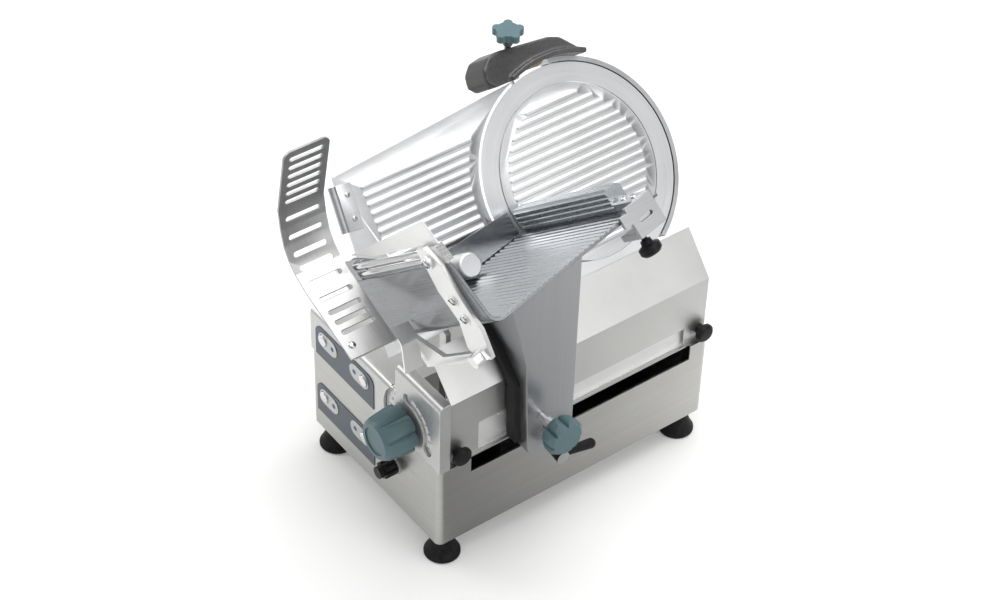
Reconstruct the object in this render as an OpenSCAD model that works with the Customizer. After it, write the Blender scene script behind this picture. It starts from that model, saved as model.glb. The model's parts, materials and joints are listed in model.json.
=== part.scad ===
// Automatic gravity meat slicer with a 300 mm blade, in millimetres.
// +Z up, the operator stands at -Y, the carriage runs along Y on the +X side.
// The origin is on the bench, under the middle of the base.

/* [Base] */
// Length of the base, front to back
base_len = 470; // [440:5:520]
// Width of the base
base_wid = 308; // [290:2:340]
// Height of the sheet steel base body
base_h = 140; // [130:1:160]
// Wall of the base body
base_wall = 2.5; // [1.5:0.5:4]
// Radius of the base's upright corners
base_corner = 10; // [6:1:16]
// Height of the rubber feet
foot_h = 45; // [35:1:60]
// Radius of a foot where it meets the bench
foot_r = 26; // [20:1:32]

/* [Front] */
// Height of the cast front housing above the base
front_h = 74; // [64:1:84]
// Depth of the cast front housing
front_depth = 84; // [70:1:100]
// Width of the dial box
dial_box_w = 102; // [96:1:112]
// Height of the dial box above the base
dial_box_h = 122; // [114:1:130]
// Depth of the dial box
dial_box_depth = 18; // [15:1:24]
// Radius of the thickness knob where it is widest
knob_r = 36; // [30:1:38]
// Length of the thickness knob
knob_len = 48; // [40:1:54]
// Radius of a push button
button_r = 9; // [7:0.5:10]
// Travel of a push button
button_travel = 2.5; // [1.5:0.5:3]

/* [Side cover] */
// Height of the cover's fold above the base
cover_fold_h = 109; // [100:1:114]
// Length of the cover's sloping face above the fold
cover_slope = 77; // [66:1:78]
// Sheet thickness of the cover
cover_sheet = 1.5; // [1:0.5:2]
// Radius of a cover knob
cover_knob_r = 14.5; // [11:0.5:16]

/* [Blade] */
// Radius of the blade
blade_r = 150; // [145:1:152]
// Lean of the blade's face from upright, in degrees
blade_lean = 41; // [40:0.5:42]
// Height of the blade's centre above the base
blade_up = 265; // [262:1:270]
// Distance of the blade's centre behind the middle of the base
blade_back = 103; // [98:1:106]
// Distance of the blade's centre from the base's carriage side
blade_side = 149; // [146:1:152]
// Width of the blade's bare band around its ribbed cover disc
blade_band = 28; // [24:1:38]
// Distance from rib to rib on the disc and the gauge plate
rib_pitch = 12.5; // [11:0.5:14]
// Travel of the gauge plate away from the blade's face
gauge_travel = 15; // [10:1:16]

/* [Carriage] */
// Length of the product tray's floor
tray_len = 280; // [270:1:290]
// Width of the tray across the slope
tray_wid = 294; // [285:1:300]
// Height of the tray's front wall
tray_wall_h = 92; // [80:1:96]
// Thickness of the cast tray
tray_thick = 5; // [4:0.5:6]
// Lean of the tray towards its front wall, in degrees
tray_lean = 12; // [11:0.5:13]
// Width of the carriage arm at its foot
arm_wid = 76; // [70:1:80]
// Travel of the carriage from its rest towards the back
travel_back = 230; // [180:5:235]
// Travel of the carriage from its rest towards the operator
travel_front = 65; // [40:5:70]
// Radius of the round guide rod that carries the carriage
guide_r = 11; // [9:0.5:12]
// Travel of the pressing plate along its rods
press_travel = 200; // [150:5:205]

/* [Hidden] */
$fn = 64;
over = 1;
gap = 0.3;
run = 0.05;

base_top = foot_h + base_h;
half_len = base_len / 2;
half_wid = base_wid / 2;
blade_x = half_wid - blade_side;
disc_r = blade_r - blade_band;
foot_inset = 24;
foot_neck_r = 15;
foot_bolt_r = 4;
floor_plate = 3;

// The blade's own frame: x along its axle, out of the cutting face, y to the back, z up the face
blade_z = base_top + blade_up;
module at_blade() {
  translate([blade_x, blade_back, blade_z])
    rotate([0, -blade_lean, 0])
      children();
}
// A point of the blade's frame as a place in the upright section across the machine
function lean(n, u) = [
  blade_x + n * cos(blade_lean) - u * sin(blade_lean),
  blade_z + n * sin(blade_lean) + u * cos(blade_lean)
];
// A round bar along the blade's axle
module bar_n(r, from, to) {
  translate([from, 0, 0])
    rotate([0, 90, 0])
      cylinder(r = r, h = to - from);
}
// A shape drawn across the machine, x to the right and z up, with a depth along y
module across(from, to) {
  translate([0, to, 0])
    rotate([90, 0, 0])
      linear_extrude(height = to - from)
        children();
}
// A shape drawn on the blade's face, y to the back and z up the face, with a depth along x
module on_face(from, to) {
  translate([from, 0, 0])
    rotate([90, 0, 90])
      linear_extrude(height = to - from)
        children();
}
// A rounded rectangle from its lower left corner
module soft_rect(w, h, r) {
  translate([r, 0])
    square([w - 2 * r, h]);
  translate([0, r])
    square([w, h - 2 * r]);
  for (x = [r, w - r], y = [r, h - r])
    translate([x, y])
      circle(r = r);
}
// A slot with round ends along the first axis, centred
module pill(len, r) {
  translate([-len / 2 + r, -r])
    square([len - 2 * r, 2 * r]);
  for (s = [-1, 1])
    translate([s * (len / 2 - r), 0])
      circle(r = r);
}
// A knob's outline: a round core with lobes around it
module lobes(r, lobe_r, count) {
  circle(r = r - lobe_r * 0.9);
  for (i = [0 : count - 1])
    rotate(i * 360 / count)
      translate([r - lobe_r, 0])
        circle(r = lobe_r, $fn = 32);
}

// Base

arm_back = -33;
arm_front = arm_back - arm_wid;
slot_spare = 4;
slot_front = arm_front - travel_front - 2 * slot_spare;
slot_back = arm_back + travel_back + slot_spare;
slot_drop = 24.5;
deck_open_x = 70;
module inside_base(from, h) {
  translate([-half_wid + base_wall, -half_len + base_wall, from])
    linear_extrude(height = h)
      soft_rect(base_wid - 2 * base_wall, base_len - 2 * base_wall, base_corner - base_wall);
}
module base_shell() {
  color("silver")
    difference() {
      translate([-half_wid, -half_len, foot_h])
        linear_extrude(height = base_h)
          soft_rect(base_wid, base_len, base_corner);
      inside_base(foot_h - over, base_h - base_wall + over);
      // the way of the carriage's foot through the side
      translate([half_wid - 2 * base_wall, slot_front, base_top - slot_drop])
        cube([4 * base_wall, slot_back - slot_front, slot_drop + over]);
      // the way of the belt and the motor through the deck
      translate([motor_out_x - head_wall, blade_back - motor_r - gap, base_top - 2 * base_wall])
        cube([deck_open_x, 2 * motor_r + 2 * gap, 4 * base_wall]);
      // holes for the shafts of the front controls and for the cable gland
      for (b = lower_buttons)
        front_hole(b[0], b[1], button_r + gap);
      front_hole(mode_x, mode_z, mode_shaft_r + run);
      // the slot in the deck for the graduated disc
      disc_room();
      translate([gland_x, half_len + over, gland_z])
        rotate([90, 0, 0])
          cylinder(r = gland_r, h = base_wall + 2 * over);
    }
}
// Drawn on the base's front, x to the right and z up, with a depth towards the operator
module at_front(x, z) {
  translate([x, -half_len, z])
    rotate([90, 0, 0])
      children();
}
module front_hole(x, z, r) {
  translate([x, -half_len + 4 * base_wall, z])
    rotate([90, 0, 0])
      cylinder(r = r, h = 4 * base_wall + 4 * over);
}
module bottom_plate() {
  color("gray")
    difference() {
      inside_base(foot_h, floor_plate);
      at_feet()
        cylinder(r = foot_bolt_r + run, h = 3 * foot_h);
      vents();
    }
}
// Rows of air slots in the bottom plate
vent_len = 90;
vent_r = 3;
vent_pitch = 14;
module vents() {
  for (i = [-3 : 3])
    translate([-half_wid / 3, i * vent_pitch, foot_h - over])
      linear_extrude(height = floor_plate + 2 * over)
        pill(vent_len, vent_r);
}
module at_feet() {
  for (sx = [-1, 1], sy = [-1, 1])
    translate([sx * (half_wid - foot_inset), sy * (half_len - foot_inset), 0])
      children();
}
foot_lip = 5;
foot_head = 12;
module feet() {
  color("black")
    at_feet() {
      rotate_extrude()
        polygon([
          [0, 0], [foot_r - 2 * foot_lip / 5, 0], [foot_r, foot_lip / 2], [foot_r, foot_lip],
          [foot_r * 0.82, foot_h * 0.3], [foot_r * 0.68, foot_h * 0.5],
          [foot_neck_r, foot_h - foot_head], [foot_neck_r + foot_lip / 2, foot_h - foot_head / 2],
          [foot_neck_r + foot_lip / 2, foot_h], [0, foot_h]
        ]);
      // the moulded-in stud and its nut inside the base
      translate([0, 0, foot_h])
        cylinder(r = foot_bolt_r, h = floor_plate + foot_head);
      translate([0, 0, foot_h + floor_plate])
        cylinder(r = 2 * foot_bolt_r, h = foot_head / 2, $fn = 6);
    }
}
gland_x = -half_wid / 2;
gland_z = foot_h + base_h / 3;
gland_r = 8;
gland_out = 16;
module cable_gland() {
  color("black")
    translate([gland_x, half_len, gland_z])
      rotate([-90, 0, 0])
        difference() {
          union() {
            translate([0, 0, -base_wall - gland_out / 2])
              cylinder(r = gland_r, h = base_wall + gland_out);
            cylinder(r = gland_r * 1.5, h = gland_out / 3, $fn = 6);
            translate([0, 0, gland_out / 2])
              cylinder(r1 = gland_r * 1.3, r2 = gland_r * 0.9, h = gland_out / 2);
          }
          translate([0, 0, -gland_out])
            cylinder(r = gland_r / 2, h = 3 * gland_out);
        }
}

// Front housing, dial box and controls

front_round = 10;
front_wall = 4;
dial_box_x = half_wid - dial_box_w;
keypad_thick = 1.2;
// A casting with a flat front and rounded top edges, hollow from behind and below
module front_shell(x, w, h, depth, inside) {
  difference() {
    rounded_front(x, w, h, depth, front_round);
    rounded_front(x + front_wall, w - 2 * front_wall, h - front_wall, inside, front_round - front_wall,
      front_wall);
  }
}
module rounded_front(x, w, h, depth, r, back = 0) {
  intersection() {
    translate([x, -half_len + back, base_top - (back > 0 ? over : 0)])
      cube([w, depth, h + (back > 0 ? over : 0)]);
    union() {
      // the top edge is a quarter round
      translate([x, -half_len + back, base_top - over])
        cube([w, depth, h + over - r]);
      translate([x, -half_len + back + r, base_top + h - r])
        rotate([0, 90, 0])
          cylinder(r = r, h = w);
      translate([x, -half_len + back + r, base_top - over])
        cube([w, depth, h + over]);
    }
  }
}
module front_housing() {
  color("gainsboro")
    difference() {
      front_shell(-half_wid, base_wid - dial_box_w, front_h, front_depth, front_depth - 2 * front_wall);
      for (b = upper_buttons)
        front_hole(b[0], b[1], button_r + gap);
      dial_room(window_spans[1]);
    }
}
// The room that the graduated disc turns in
module disc_room() {
  at_front(dial_x, dial_z)
    translate([0, 0, -dial_back - dial_disc_thick - over])
      cylinder(r = dial_disc_r + over, h = dial_back - front_wall + dial_disc_thick + over);
}
// That room with a window of the front
module dial_room(span) {
  disc_room();
  at_front(dial_x, dial_z)
    translate([0, 0, -front_wall - over])
      linear_extrude(height = front_wall + 2 * over)
        dial_window(span);
}
dial_in = 74;
dial_up = 34;
dial_rim = 1;
dial_x = half_wid - dial_in;
dial_z = base_top + dial_up;
window_mid_r = 47;
window_half = 9;
window_spans = [[-14, 90], [142, 196]];
dial_disc_r = window_mid_r + window_half + dial_rim;
dial_disc_thick = 2;
shaft_r = 7;
module dial_box() {
  color("gainsboro")
    difference() {
      front_shell(dial_box_x, dial_box_w, dial_box_h, dial_box_depth, dial_box_depth);
      dial_room(window_spans[0]);
      front_hole(dial_x, dial_z, shaft_r + run);
    }
}
module dial_window(span) {
  polygon(concat(
    arc(0, 0, window_mid_r + window_half, span[0], span[1], 12),
    arc(window_mid_r * cos(span[1]), window_mid_r * sin(span[1]), window_half, span[1], span[1] + 180, 8),
    arc(0, 0, window_mid_r - window_half, span[1], span[0], 12),
    arc(window_mid_r * cos(span[0]), window_mid_r * sin(span[0]), window_half,
      span[0] + 180, span[0] + 360, 8)
  ));
}
// Points on an arc about a centre
function arc(x, y, r, from, to, steps = 4) = [
  for (i = [0 : steps])
    [x + r * cos(from + (to - from) * i / steps), y + r * sin(from + (to - from) * i / steps)]
];
dial_play = 1.5;
dial_back = front_wall + dial_play;
module dial_disc() {
  color("white")
    translate([dial_x, -half_len + dial_back, dial_z])
      rotate([90, 0, 0])
        translate([0, 0, -dial_disc_thick])
          difference() {
            union() {
              cylinder(r = dial_disc_r, h = dial_disc_thick);
              cylinder(r = shaft_r * 1.8, h = dial_back + dial_disc_thick - front_wall - gap);
            }
            translate([0, 0, -over])
              cylinder(r = shaft_r, h = dial_back + dial_disc_thick + over);
          }
}
knob_stand = 6;
knob_flutes = 7;
knob_front_r = knob_r * 0.82;
module thickness_knob() {
  color("cadetblue")
    at_front(dial_x, dial_z)
      difference() {
        union() {
          translate([0, 0, gap])
            cylinder(r = knob_r / 2, h = knob_stand);
          intersection() {
            translate([0, 0, knob_stand])
              linear_extrude(height = knob_len)
                lobes(knob_r, knob_r * 0.36, knob_flutes);
            knob_body();
          }
        }
        translate([0, 0, -over])
          cylinder(r = shaft_r, h = knob_stand + knob_len * 0.7 + over);
        // the dished end
        translate([0, 0, knob_stand + knob_len - 2 * front_wall / 4])
          cylinder(r = knob_front_r * 0.72, h = front_wall);
      }
}
module knob_body() {
  rotate_extrude()
    polygon([
      [0, knob_stand], [knob_r * 0.97, knob_stand], [knob_r, knob_stand + knob_len * 0.08],
      [knob_front_r * 1.08, knob_stand + knob_len * 0.8], [knob_front_r, knob_stand + knob_len * 0.93],
      [knob_front_r * 0.9, knob_stand + knob_len], [0, knob_stand + knob_len]
    ]);
}
cam_r = 24;
cam_thick = 9;
// The dial's turn, in degrees, that opens the gauge plate all the way
dial_turn = 309.4;
cam_drop = gauge_travel * sin(blade_lean) * 360 / dial_turn;
shaft_back = 66;
module thickness_shaft() {
  color("silver")
    at_front(dial_x, dial_z) {
      translate([0, 0, -shaft_back])
        cylinder(r = shaft_r, h = shaft_back + knob_stand + knob_len * 0.7);
      // the scroll cam that sets the gauge plate
      translate([0, 0, -shaft_back])
        linear_extrude(height = cam_thick)
          polygon([for (a = [0 : 12 : 348]) (cam_r - cam_drop * a / 360) * [sin(a), cos(a)]]);
    }
}
pad_margin = 14;
pad_w = dial_x - dial_disc_r + half_wid - 2.5 * pad_margin;
pad_h = 56;
pad_round = 14;
pad_x = -half_wid + pad_margin;
pad_gap = 1;
pad_drop = 108;
upper_pad_z = base_top + pad_gap;
lower_pad_z = base_top - pad_drop;
pad_button_x_shares = [0.14, 0.84];
pad_dot_x_shares = [0.30, 0.68];
pad_mid_share = 0.66;
function on_pad(shares, z) = [for (s = shares) [pad_x + pad_w * s, z + pad_h * pad_mid_share]];
upper_buttons = on_pad(pad_button_x_shares, upper_pad_z);
lower_buttons = on_pad(pad_button_x_shares, lower_pad_z);
upper_dots = on_pad(pad_dot_x_shares, upper_pad_z);
lower_dots = on_pad(pad_dot_x_shares, lower_pad_z);
// A face plate on the front with two rounded upper corners
module keypad(z, buttons, dots) {
  color("darkslategray")
    difference() {
      at_front(pad_x, z)
        linear_extrude(height = keypad_thick) {
          soft_rect(pad_w, pad_h, pad_round);
          square([pad_w, pad_h / 2]);
        }
      for (b = buttons)
        front_hole(b[0], b[1], button_r + gap);
      for (d = dots)
        front_hole(d[0], d[1], dot_r);
    }
}
dot_r = 4;
module keypads() {
  keypad(upper_pad_z, upper_buttons, upper_dots);
  keypad(lower_pad_z, lower_buttons, lower_dots);
}
bezel_len = 46;
bezel_r = 13.5;
bezel_thick = 1;
// One bezel frames a button and its lamp, and a washer lies under the mode knob
module panel_trim() {
  color("lightgray") {
    at_front(mode_x, mode_z)
      difference() {
        cylinder(r = mode_r * 1.15, h = mode_washer);
        translate([0, 0, -over])
          cylinder(r = mode_shaft_r + run, h = mode_washer + 2 * over);
      }
    for (row = [[upper_buttons, upper_dots], [lower_buttons, lower_dots]], i = [0, 1])
      translate([
        (row[0][i][0] + row[1][i][0]) / 2,
        -half_len - keypad_thick,
        row[0][i][1]
      ])
        rotate([90, 0, 0])
          linear_extrude(height = bezel_thick)
            difference() {
              pill(bezel_len, bezel_r);
              translate([(row[0][i][0] - row[1][i][0]) / 2, 0])
                circle(r = button_r + gap);
              translate([(row[1][i][0] - row[0][i][0]) / 2, 0])
                circle(r = dot_r);
            }
  }
}
module indicator_lights() {
  color("midnightblue")
    for (d = concat(upper_dots, lower_dots))
      at_front(d[0], d[1]) {
        cylinder(r = dot_r, h = keypad_thick + bezel_thick);
        translate([0, 0, keypad_thick + bezel_thick])
          cylinder(r1 = dot_r, r2 = dot_r / 2, h = bezel_thick);
      }
}
button_proud = 2 * button_travel;
button_deep = 14;
module push_button(b) {
  color("white")
    at_front(b[0], b[1])
      rotate_extrude()
        polygon([
          [0, -button_deep], [button_r / 2, -button_deep], [button_r / 2, -button_deep / 2],
          [button_r, -button_deep / 2], [button_r, button_proud - bezel_thick],
          [button_r * 0.8, button_proud], [button_r * 0.4, button_proud + bezel_thick / 2],
          [0, button_proud + bezel_thick / 2]
        ]);
}
module button_upper_left() {
  push_button(upper_buttons[0]);
}
module button_upper_right() {
  push_button(upper_buttons[1]);
}
module button_lower_left() {
  push_button(lower_buttons[0]);
}
module button_lower_right() {
  push_button(lower_buttons[1]);
}
mode_x = 49;
mode_up = 73;
mode_z = foot_h + mode_up;
mode_r = 13;
mode_len = 26;
mode_shaft_r = 3;
mode_washer = 2;
module mode_knob() {
  color("black")
    at_front(mode_x, mode_z) {
      translate([0, 0, mode_washer + gap]) {
        linear_extrude(height = mode_len * 0.7)
          lobes(mode_r, mode_r / 4, 9);
        cylinder(r = mode_r * 0.7, h = mode_len);
      }
      translate([0, 0, -base_wall - front_wall])
        cylinder(r = mode_shaft_r, h = base_wall + front_wall + mode_washer + gap);
    }
}
// Side cover

cover_in = 8;
cover_front_in = 24;
cover_x = half_wid - cover_in;
cover_front = -half_len + cover_front_in;
cover_back = half_len - cover_in / 2;
cover_fold = base_top + cover_fold_h;
cover_seat = base_top;
cover_top_x = cover_x - cover_slope * sin(blade_lean);
cover_top_z = cover_fold + cover_slope * cos(blade_lean);
front_leg = 46;
back_leg = 37;
notch_low = 32;
notch_high = 53;
notch_step = -58;
// The bent sheet, seen from the front
module cover_line(d) {
  polygon([
    [cover_x - d, cover_seat], [cover_x - d, cover_fold - d * tan(blade_lean / 2)],
    [cover_top_x - d * cos(blade_lean), cover_top_z - d * sin(blade_lean)],
    [cover_top_x, cover_top_z], [cover_x, cover_fold], [cover_x, cover_seat]
  ]);
}
module side_cover() {
  color("whitesmoke")
    difference() {
      union() {
        across(cover_front, cover_back)
          cover_line(cover_sheet);
        // the closed rear end
        across(cover_back - cover_sheet, cover_back)
          polygon([
            [cover_top_x, cover_fold], [cover_top_x, cover_top_z],
            [cover_x, cover_fold], [cover_x, cover_seat],
            [cover_x - back_leg, cover_seat]
          ]);
      }
      // the notch over the carriage's way, higher in front of the arm's rest
      translate([cover_x - 3 * cover_sheet, cover_front + front_leg, cover_seat - over])
        cube([5 * cover_sheet, cover_back - cover_front - front_leg - back_leg, notch_low + over]);
      translate([cover_x - 3 * cover_sheet, cover_front + front_leg, cover_seat - over])
        cube([5 * cover_sheet, notch_step - cover_front - front_leg, notch_high + over]);
      for (y = cover_knob_y)
        translate([cover_x, y, cover_knob_z])
          bar_n(cover_stud_r + run, -3 * cover_sheet, 2 * cover_sheet);
    }
}
shield_back = 7;
front_knob_in = 11;
back_knob_in = 9;
cover_knob_up = 18;
cover_knob_y = [cover_front + front_knob_in, cover_back - back_knob_in];
cover_knob_z = base_top + cover_knob_up;
cover_stud_r = 4;
post_w = 14;
post_h = 34;
shield_x = cover_x - shield_back - cover_sheet;
// The inner sheet behind the carriage's way, with the blocks that hold the cover
module shield_plate() {
  color("gainsboro")
    difference() {
      union() {
        translate([shield_x, cover_knob_y[0], base_top])
          cube([cover_sheet, cover_knob_y[1] - cover_knob_y[0], notch_high + shield_back]);
        translate([shield_x, cover_knob_y[0], base_top])
          cube([shield_back - gap, cover_knob_y[1] - cover_knob_y[0], cover_sheet]);
        for (y = cover_knob_y)
          translate([cover_x - cover_sheet - post_w, y - post_w / 2, base_top])
            cube([post_w, post_w, post_h]);
      }
      for (y = cover_knob_y)
        translate([cover_x, y, cover_knob_z])
          bar_n(cover_stud_r + run, -2 * post_w, 0);
      translate([shield_x, shield_hole_y, base_top + notch_high * 0.8])
        bar_n(cover_stud_r / 2, -over, cover_sheet + over);
    }
}
shield_hole_in = 38;
shield_hole_y = cover_front + front_leg + shield_hole_in;
cover_knob_len = 17;
module cover_knob(y) {
  color("black")
    translate([cover_x, y, cover_knob_z])
      rotate([0, 90, 0]) {
        rotate_extrude()
          polygon([
            [0, gap], [cover_knob_r * 0.55, gap], [cover_knob_r * 0.5, cover_knob_len * 0.35],
            [cover_knob_r, cover_knob_len * 0.5], [cover_knob_r, cover_knob_len * 0.8],
            [cover_knob_r * 0.75, cover_knob_len], [0, cover_knob_len]
          ]);
        translate([0, 0, -cover_sheet - post_w * 0.8])
          cylinder(r = cover_stud_r, h = cover_sheet + post_w * 0.8 + 2 * gap);
      }
}
module cover_knob_front() {
  cover_knob(cover_knob_y[0]);
}
module cover_knob_rear() {
  cover_knob(cover_knob_y[1]);
}

// Head casting that carries the blade, with the motor in its foot

head_front = -14;
head_back = -70;
head_r = 112;
head_wall = 6;
head_half = 74;
head_open_r = 64;
motor_u = -195;
motor_r = 42;
motor_len = 98;
motor_out_x = lean(head_back - motor_len, motor_u)[0];
belt_half = 56;
head_toe = 20;
head_floor_u = motor_u - head_toe;
module head_profile(g) {
  polygon([
    lean(head_front - g, 0),
    lean(head_front - g, head_floor_u + g),
    [lean(head_front - g, head_floor_u + g)[0], base_top - g * 2 * over],
    [motor_out_x - motor_r + g, base_top - g * 2 * over],
    [motor_out_x - motor_r + g, lean(head_back - motor_len, motor_u + motor_r)[1] + head_wall - g],
    lean(head_back - motor_len - g, motor_u + motor_r + 2 * head_wall - g),
    lean(head_back + g, motor_u + motor_r + 2 * head_wall - g),
    lean(head_back + g, 0)
  ]);
}
ring_in = 1.5;
ring_wid = 6.5;
ring_deep = 22;
ring_plate = 5;
ring_proud = 1;
ring_from = -56;
ring_to = 104;
ring_r = blade_r + ring_in + ring_wid;
stone_room = 25;
// A wedge of the face from one angle to another
module wedge(r, from, to) {
  polygon(concat([[0, 0]], arc(0, 0, 2 * r, from, to, 8)));
}
// The guard ring and the plate that joins it to the head
module blade_guard() {
  for (part = [[blade_r + ring_in, ring_proud], [head_r - over, ring_plate - ring_deep]])
    on_face(-ring_deep, part[1])
      difference() {
        intersection() {
          difference() {
            circle(r = ring_r, $fn = 128);
            circle(r = part[0], $fn = 128);
          }
          wedge(blade_r, ring_from, ring_to);
        }
        // the opening for the sharpening stones
        translate([stone_y - stone_room, blade_r - stone_room])
          square([2 * stone_room, 2 * stone_room]);
      }
}
post_r = 7;
post_y = 31;
post_in = 2;
post_n = post_r + post_in - ring_deep;
module head_casting() {
  color("lightgray")
    difference() {
      union() {
        at_blade() {
          bar_n(head_r, head_back, head_front);
          blade_guard();
          // the post that the sharpener slides down on
          translate([post_n, post_y, sqrt(ring_r * ring_r - post_y * post_y) - 2 * post_r])
            cylinder(r = post_r, h = 4 * post_r);
          // the guide of the gauge plate's slide bar
          translate([gauge_guide_n, gauge_bar_y - 2 * gauge_bar_r, gauge_bar_u - 2 * gauge_bar_r])
            cube([gauge_guide_len, -head_half - gauge_bar_y + 3 * gauge_bar_r, 4 * gauge_bar_r]);
        }
        across(blade_back - head_half, blade_back + head_half)
          head_profile(0);
      }
      // the room for the motor in the foot
      across(blade_back - head_half + head_wall, blade_back + head_half - head_wall)
        intersection() {
          head_profile(head_wall);
          polygon([
            lean(head_back + head_wall, motor_u + 3 * motor_r),
            lean(head_back + head_wall, motor_u - motor_r - over),
            [lean(head_back + head_wall, motor_u - motor_r - over)[0], base_top - 3 * head_wall],
            [motor_out_x - 2 * motor_r, base_top - 3 * head_wall],
            [motor_out_x - 2 * motor_r, lean(0, motor_u + 3 * motor_r)[1]]
          ]);
        }
      // the room for the pulleys and the belt
      at_blade() {
        bar_n(head_open_r, head_back + head_wall, head_front + over);
        translate([0, gauge_bar_y, gauge_bar_u])
          bar_n(gauge_bar_r + run, gauge_guide_n - over, gauge_guide_n + gauge_guide_len + over);
        translate([head_back + 2 * head_wall, -belt_half, motor_u - motor_pulley_r - belt_thick - turn_gap])
          cube([belt_room, 2 * belt_half, -motor_u + motor_pulley_r + belt_thick + turn_gap]);
        bar_n(axle_r + run, head_back - over, head_back + 2 * head_wall);
        translate([0, 0, motor_u])
          bar_n(motor_shaft_r + turn_gap, head_back - over, head_back + 3 * head_wall);
      }
    }
}
belt_room = 36;
turn_gap = 2;
axle_r = 12.5;
axle_bore_r = 6;
axle_front = -11;
axle_flange_r = 26;
axle_flange = 5;
module blade_axle() {
  color("silver")
    at_blade()
      difference() {
        union() {
          bar_n(axle_r, head_back - axle_flange, axle_front);
          bar_n(axle_flange_r, head_back - axle_flange, head_back);
        }
        bar_n(axle_bore_r + run, head_back - axle_flange - over, axle_front + over);
      }
}
bearing_r = 23.5;
bearing_w = 12;
bearing_back = -60;
bearing_step = 28;
bearing_at = [bearing_back, bearing_back + bearing_step];
module blade_bearings() {
  color("silver")
    at_blade()
      for (n = bearing_at)
        difference() {
          bar_n(bearing_r - run, n, n + bearing_w);
          bar_n(axle_r, n - over, n + bearing_w + over);
        }
}
hub_r = 30;
hub_flange_r = 46;
hub_flange = 5;
hub_back = -62;
blade_pulley_r = 52;
pulley_w = 20;
pulley_back = -56;
blade_back_n = -8;
module blade_hub() {
  color("darkgray")
    at_blade()
      difference() {
        union() {
          bar_n(hub_r, hub_back, blade_back_n);
          bar_n(hub_flange_r, blade_back_n - hub_flange, blade_back_n);
          bar_n(blade_pulley_r, pulley_back, pulley_back + pulley_w);
        }
        bar_n(bearing_r, hub_back - over, bearing_at[1] + bearing_w + over);
        bar_n(axle_r + turn_gap, hub_back - over, blade_back_n + over);
        // grooves for the belt's ribs
        for (i = [1 : 4])
          translate([pulley_back + i * pulley_w / 5, 0, 0])
            rotate([0, 90, 0])
              rotate_extrude()
                translate([blade_pulley_r, 0])
                  circle(r = pulley_w / 14, $fn = 16);
      }
}
blade_seat_r = 34;
run_gap = 1.5;
blade_dish = 4;
module blade() {
  color("lightsteelblue")
    at_blade()
      rotate([0, 90, 0])
        rotate_extrude($fn = 128)
          polygon([
            [blade_seat_r / 2, blade_back_n], [hub_flange_r, blade_back_n],
            [blade_r * 0.8, blade_back_n + blade_dish / 2],
            [blade_r - 2 * blade_dish, -blade_dish],
            [blade_r, -blade_dish / 8], [blade_r, 0],
            [disc_r + run_gap, -blade_dish / 8], [disc_r + run_gap, -blade_dish],
            [blade_seat_r / 2, -blade_dish]
          ]);
}
disc_thick = 3;
rib_r = 6;
rib_proud = 1.4;
disc_round = 11;
// A half round rib along y
module rib(from, to, u, n) {
  translate([n, from, u]) {
    rotate([-90, 0, 0])
      cylinder(r = rib_r, h = to - from, $fn = 32);
    sphere(r = rib_r, $fn = 32);
    translate([0, to - from, 0])
      sphere(r = rib_r, $fn = 32);
  }
}
disc_ribs = floor((disc_r - disc_round - rib_r) / rib_pitch);
module blade_cover() {
  color("gainsboro")
    at_blade()
      difference() {
        union() {
          bar_n(disc_r, -disc_thick, 0);
          bar_n(axle_r - over / 2, axle_front, 0);
          intersection() {
            bar_n(disc_r, -disc_thick / 2, rib_r);
            for (i = [-disc_ribs : disc_ribs])
              let (u = i * rib_pitch, half = sqrt(pow(disc_r - disc_round, 2) - u * u) - rib_r)
                rib(-half, half, u, rib_proud - rib_r);
          }
        }
        bar_n(tie_r + run, axle_front - over, -disc_thick / 3);
      }
}
tie_r = 5;
tie_knob_r = 20;
tie_knob_len = 22;
module tie_knob() {
  color("black")
    at_blade() {
      bar_n(tie_r, head_back - axle_flange - gap, -disc_thick / 3 - gap);
      translate([head_back - axle_flange - gap - tie_knob_len, 0, 0])
        rotate([90, 0, 90])
          linear_extrude(height = tie_knob_len * 0.7)
            lobes(tie_knob_r, tie_knob_r * 0.3, 6);
      bar_n(tie_knob_r / 2, head_back - axle_flange - tie_knob_len * 0.4, head_back - axle_flange - gap);
    }
}
deflector_thick = 1.5;
deflector_r = 138;
module slice_deflector() {
  color("silver")
    at_blade()
      on_face(head_front, head_front + deflector_thick)
        difference() {
          intersection() {
            circle(r = deflector_r);
            wedge(blade_r, 112, 248);
          }
          circle(r = head_open_r + head_wall);
        }
}
motor_shaft_r = 7;
motor_band = 2;
motor_pulley_r = 22;
belt_thick = 2.5;
module blade_motor() {
  color("dimgray")
    at_blade()
      translate([0, 0, motor_u])
        difference() {
          union() {
            bar_n(motor_r - motor_band, head_back - motor_len, head_back + head_wall);
            bar_n(motor_r, head_back - motor_len * 0.8, head_back - motor_len * 0.2);
          }
          bar_n(motor_shaft_r + run, head_back - motor_len / 2, head_back + head_wall + over);
        }
}
module motor_pulley() {
  color("silver")
    at_blade()
      translate([0, 0, motor_u]) {
        bar_n(motor_pulley_r, pulley_back, pulley_back + pulley_w);
        bar_n(motor_shaft_r, head_back - motor_len / 2, pulley_back + pulley_w);
      }
}
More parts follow.
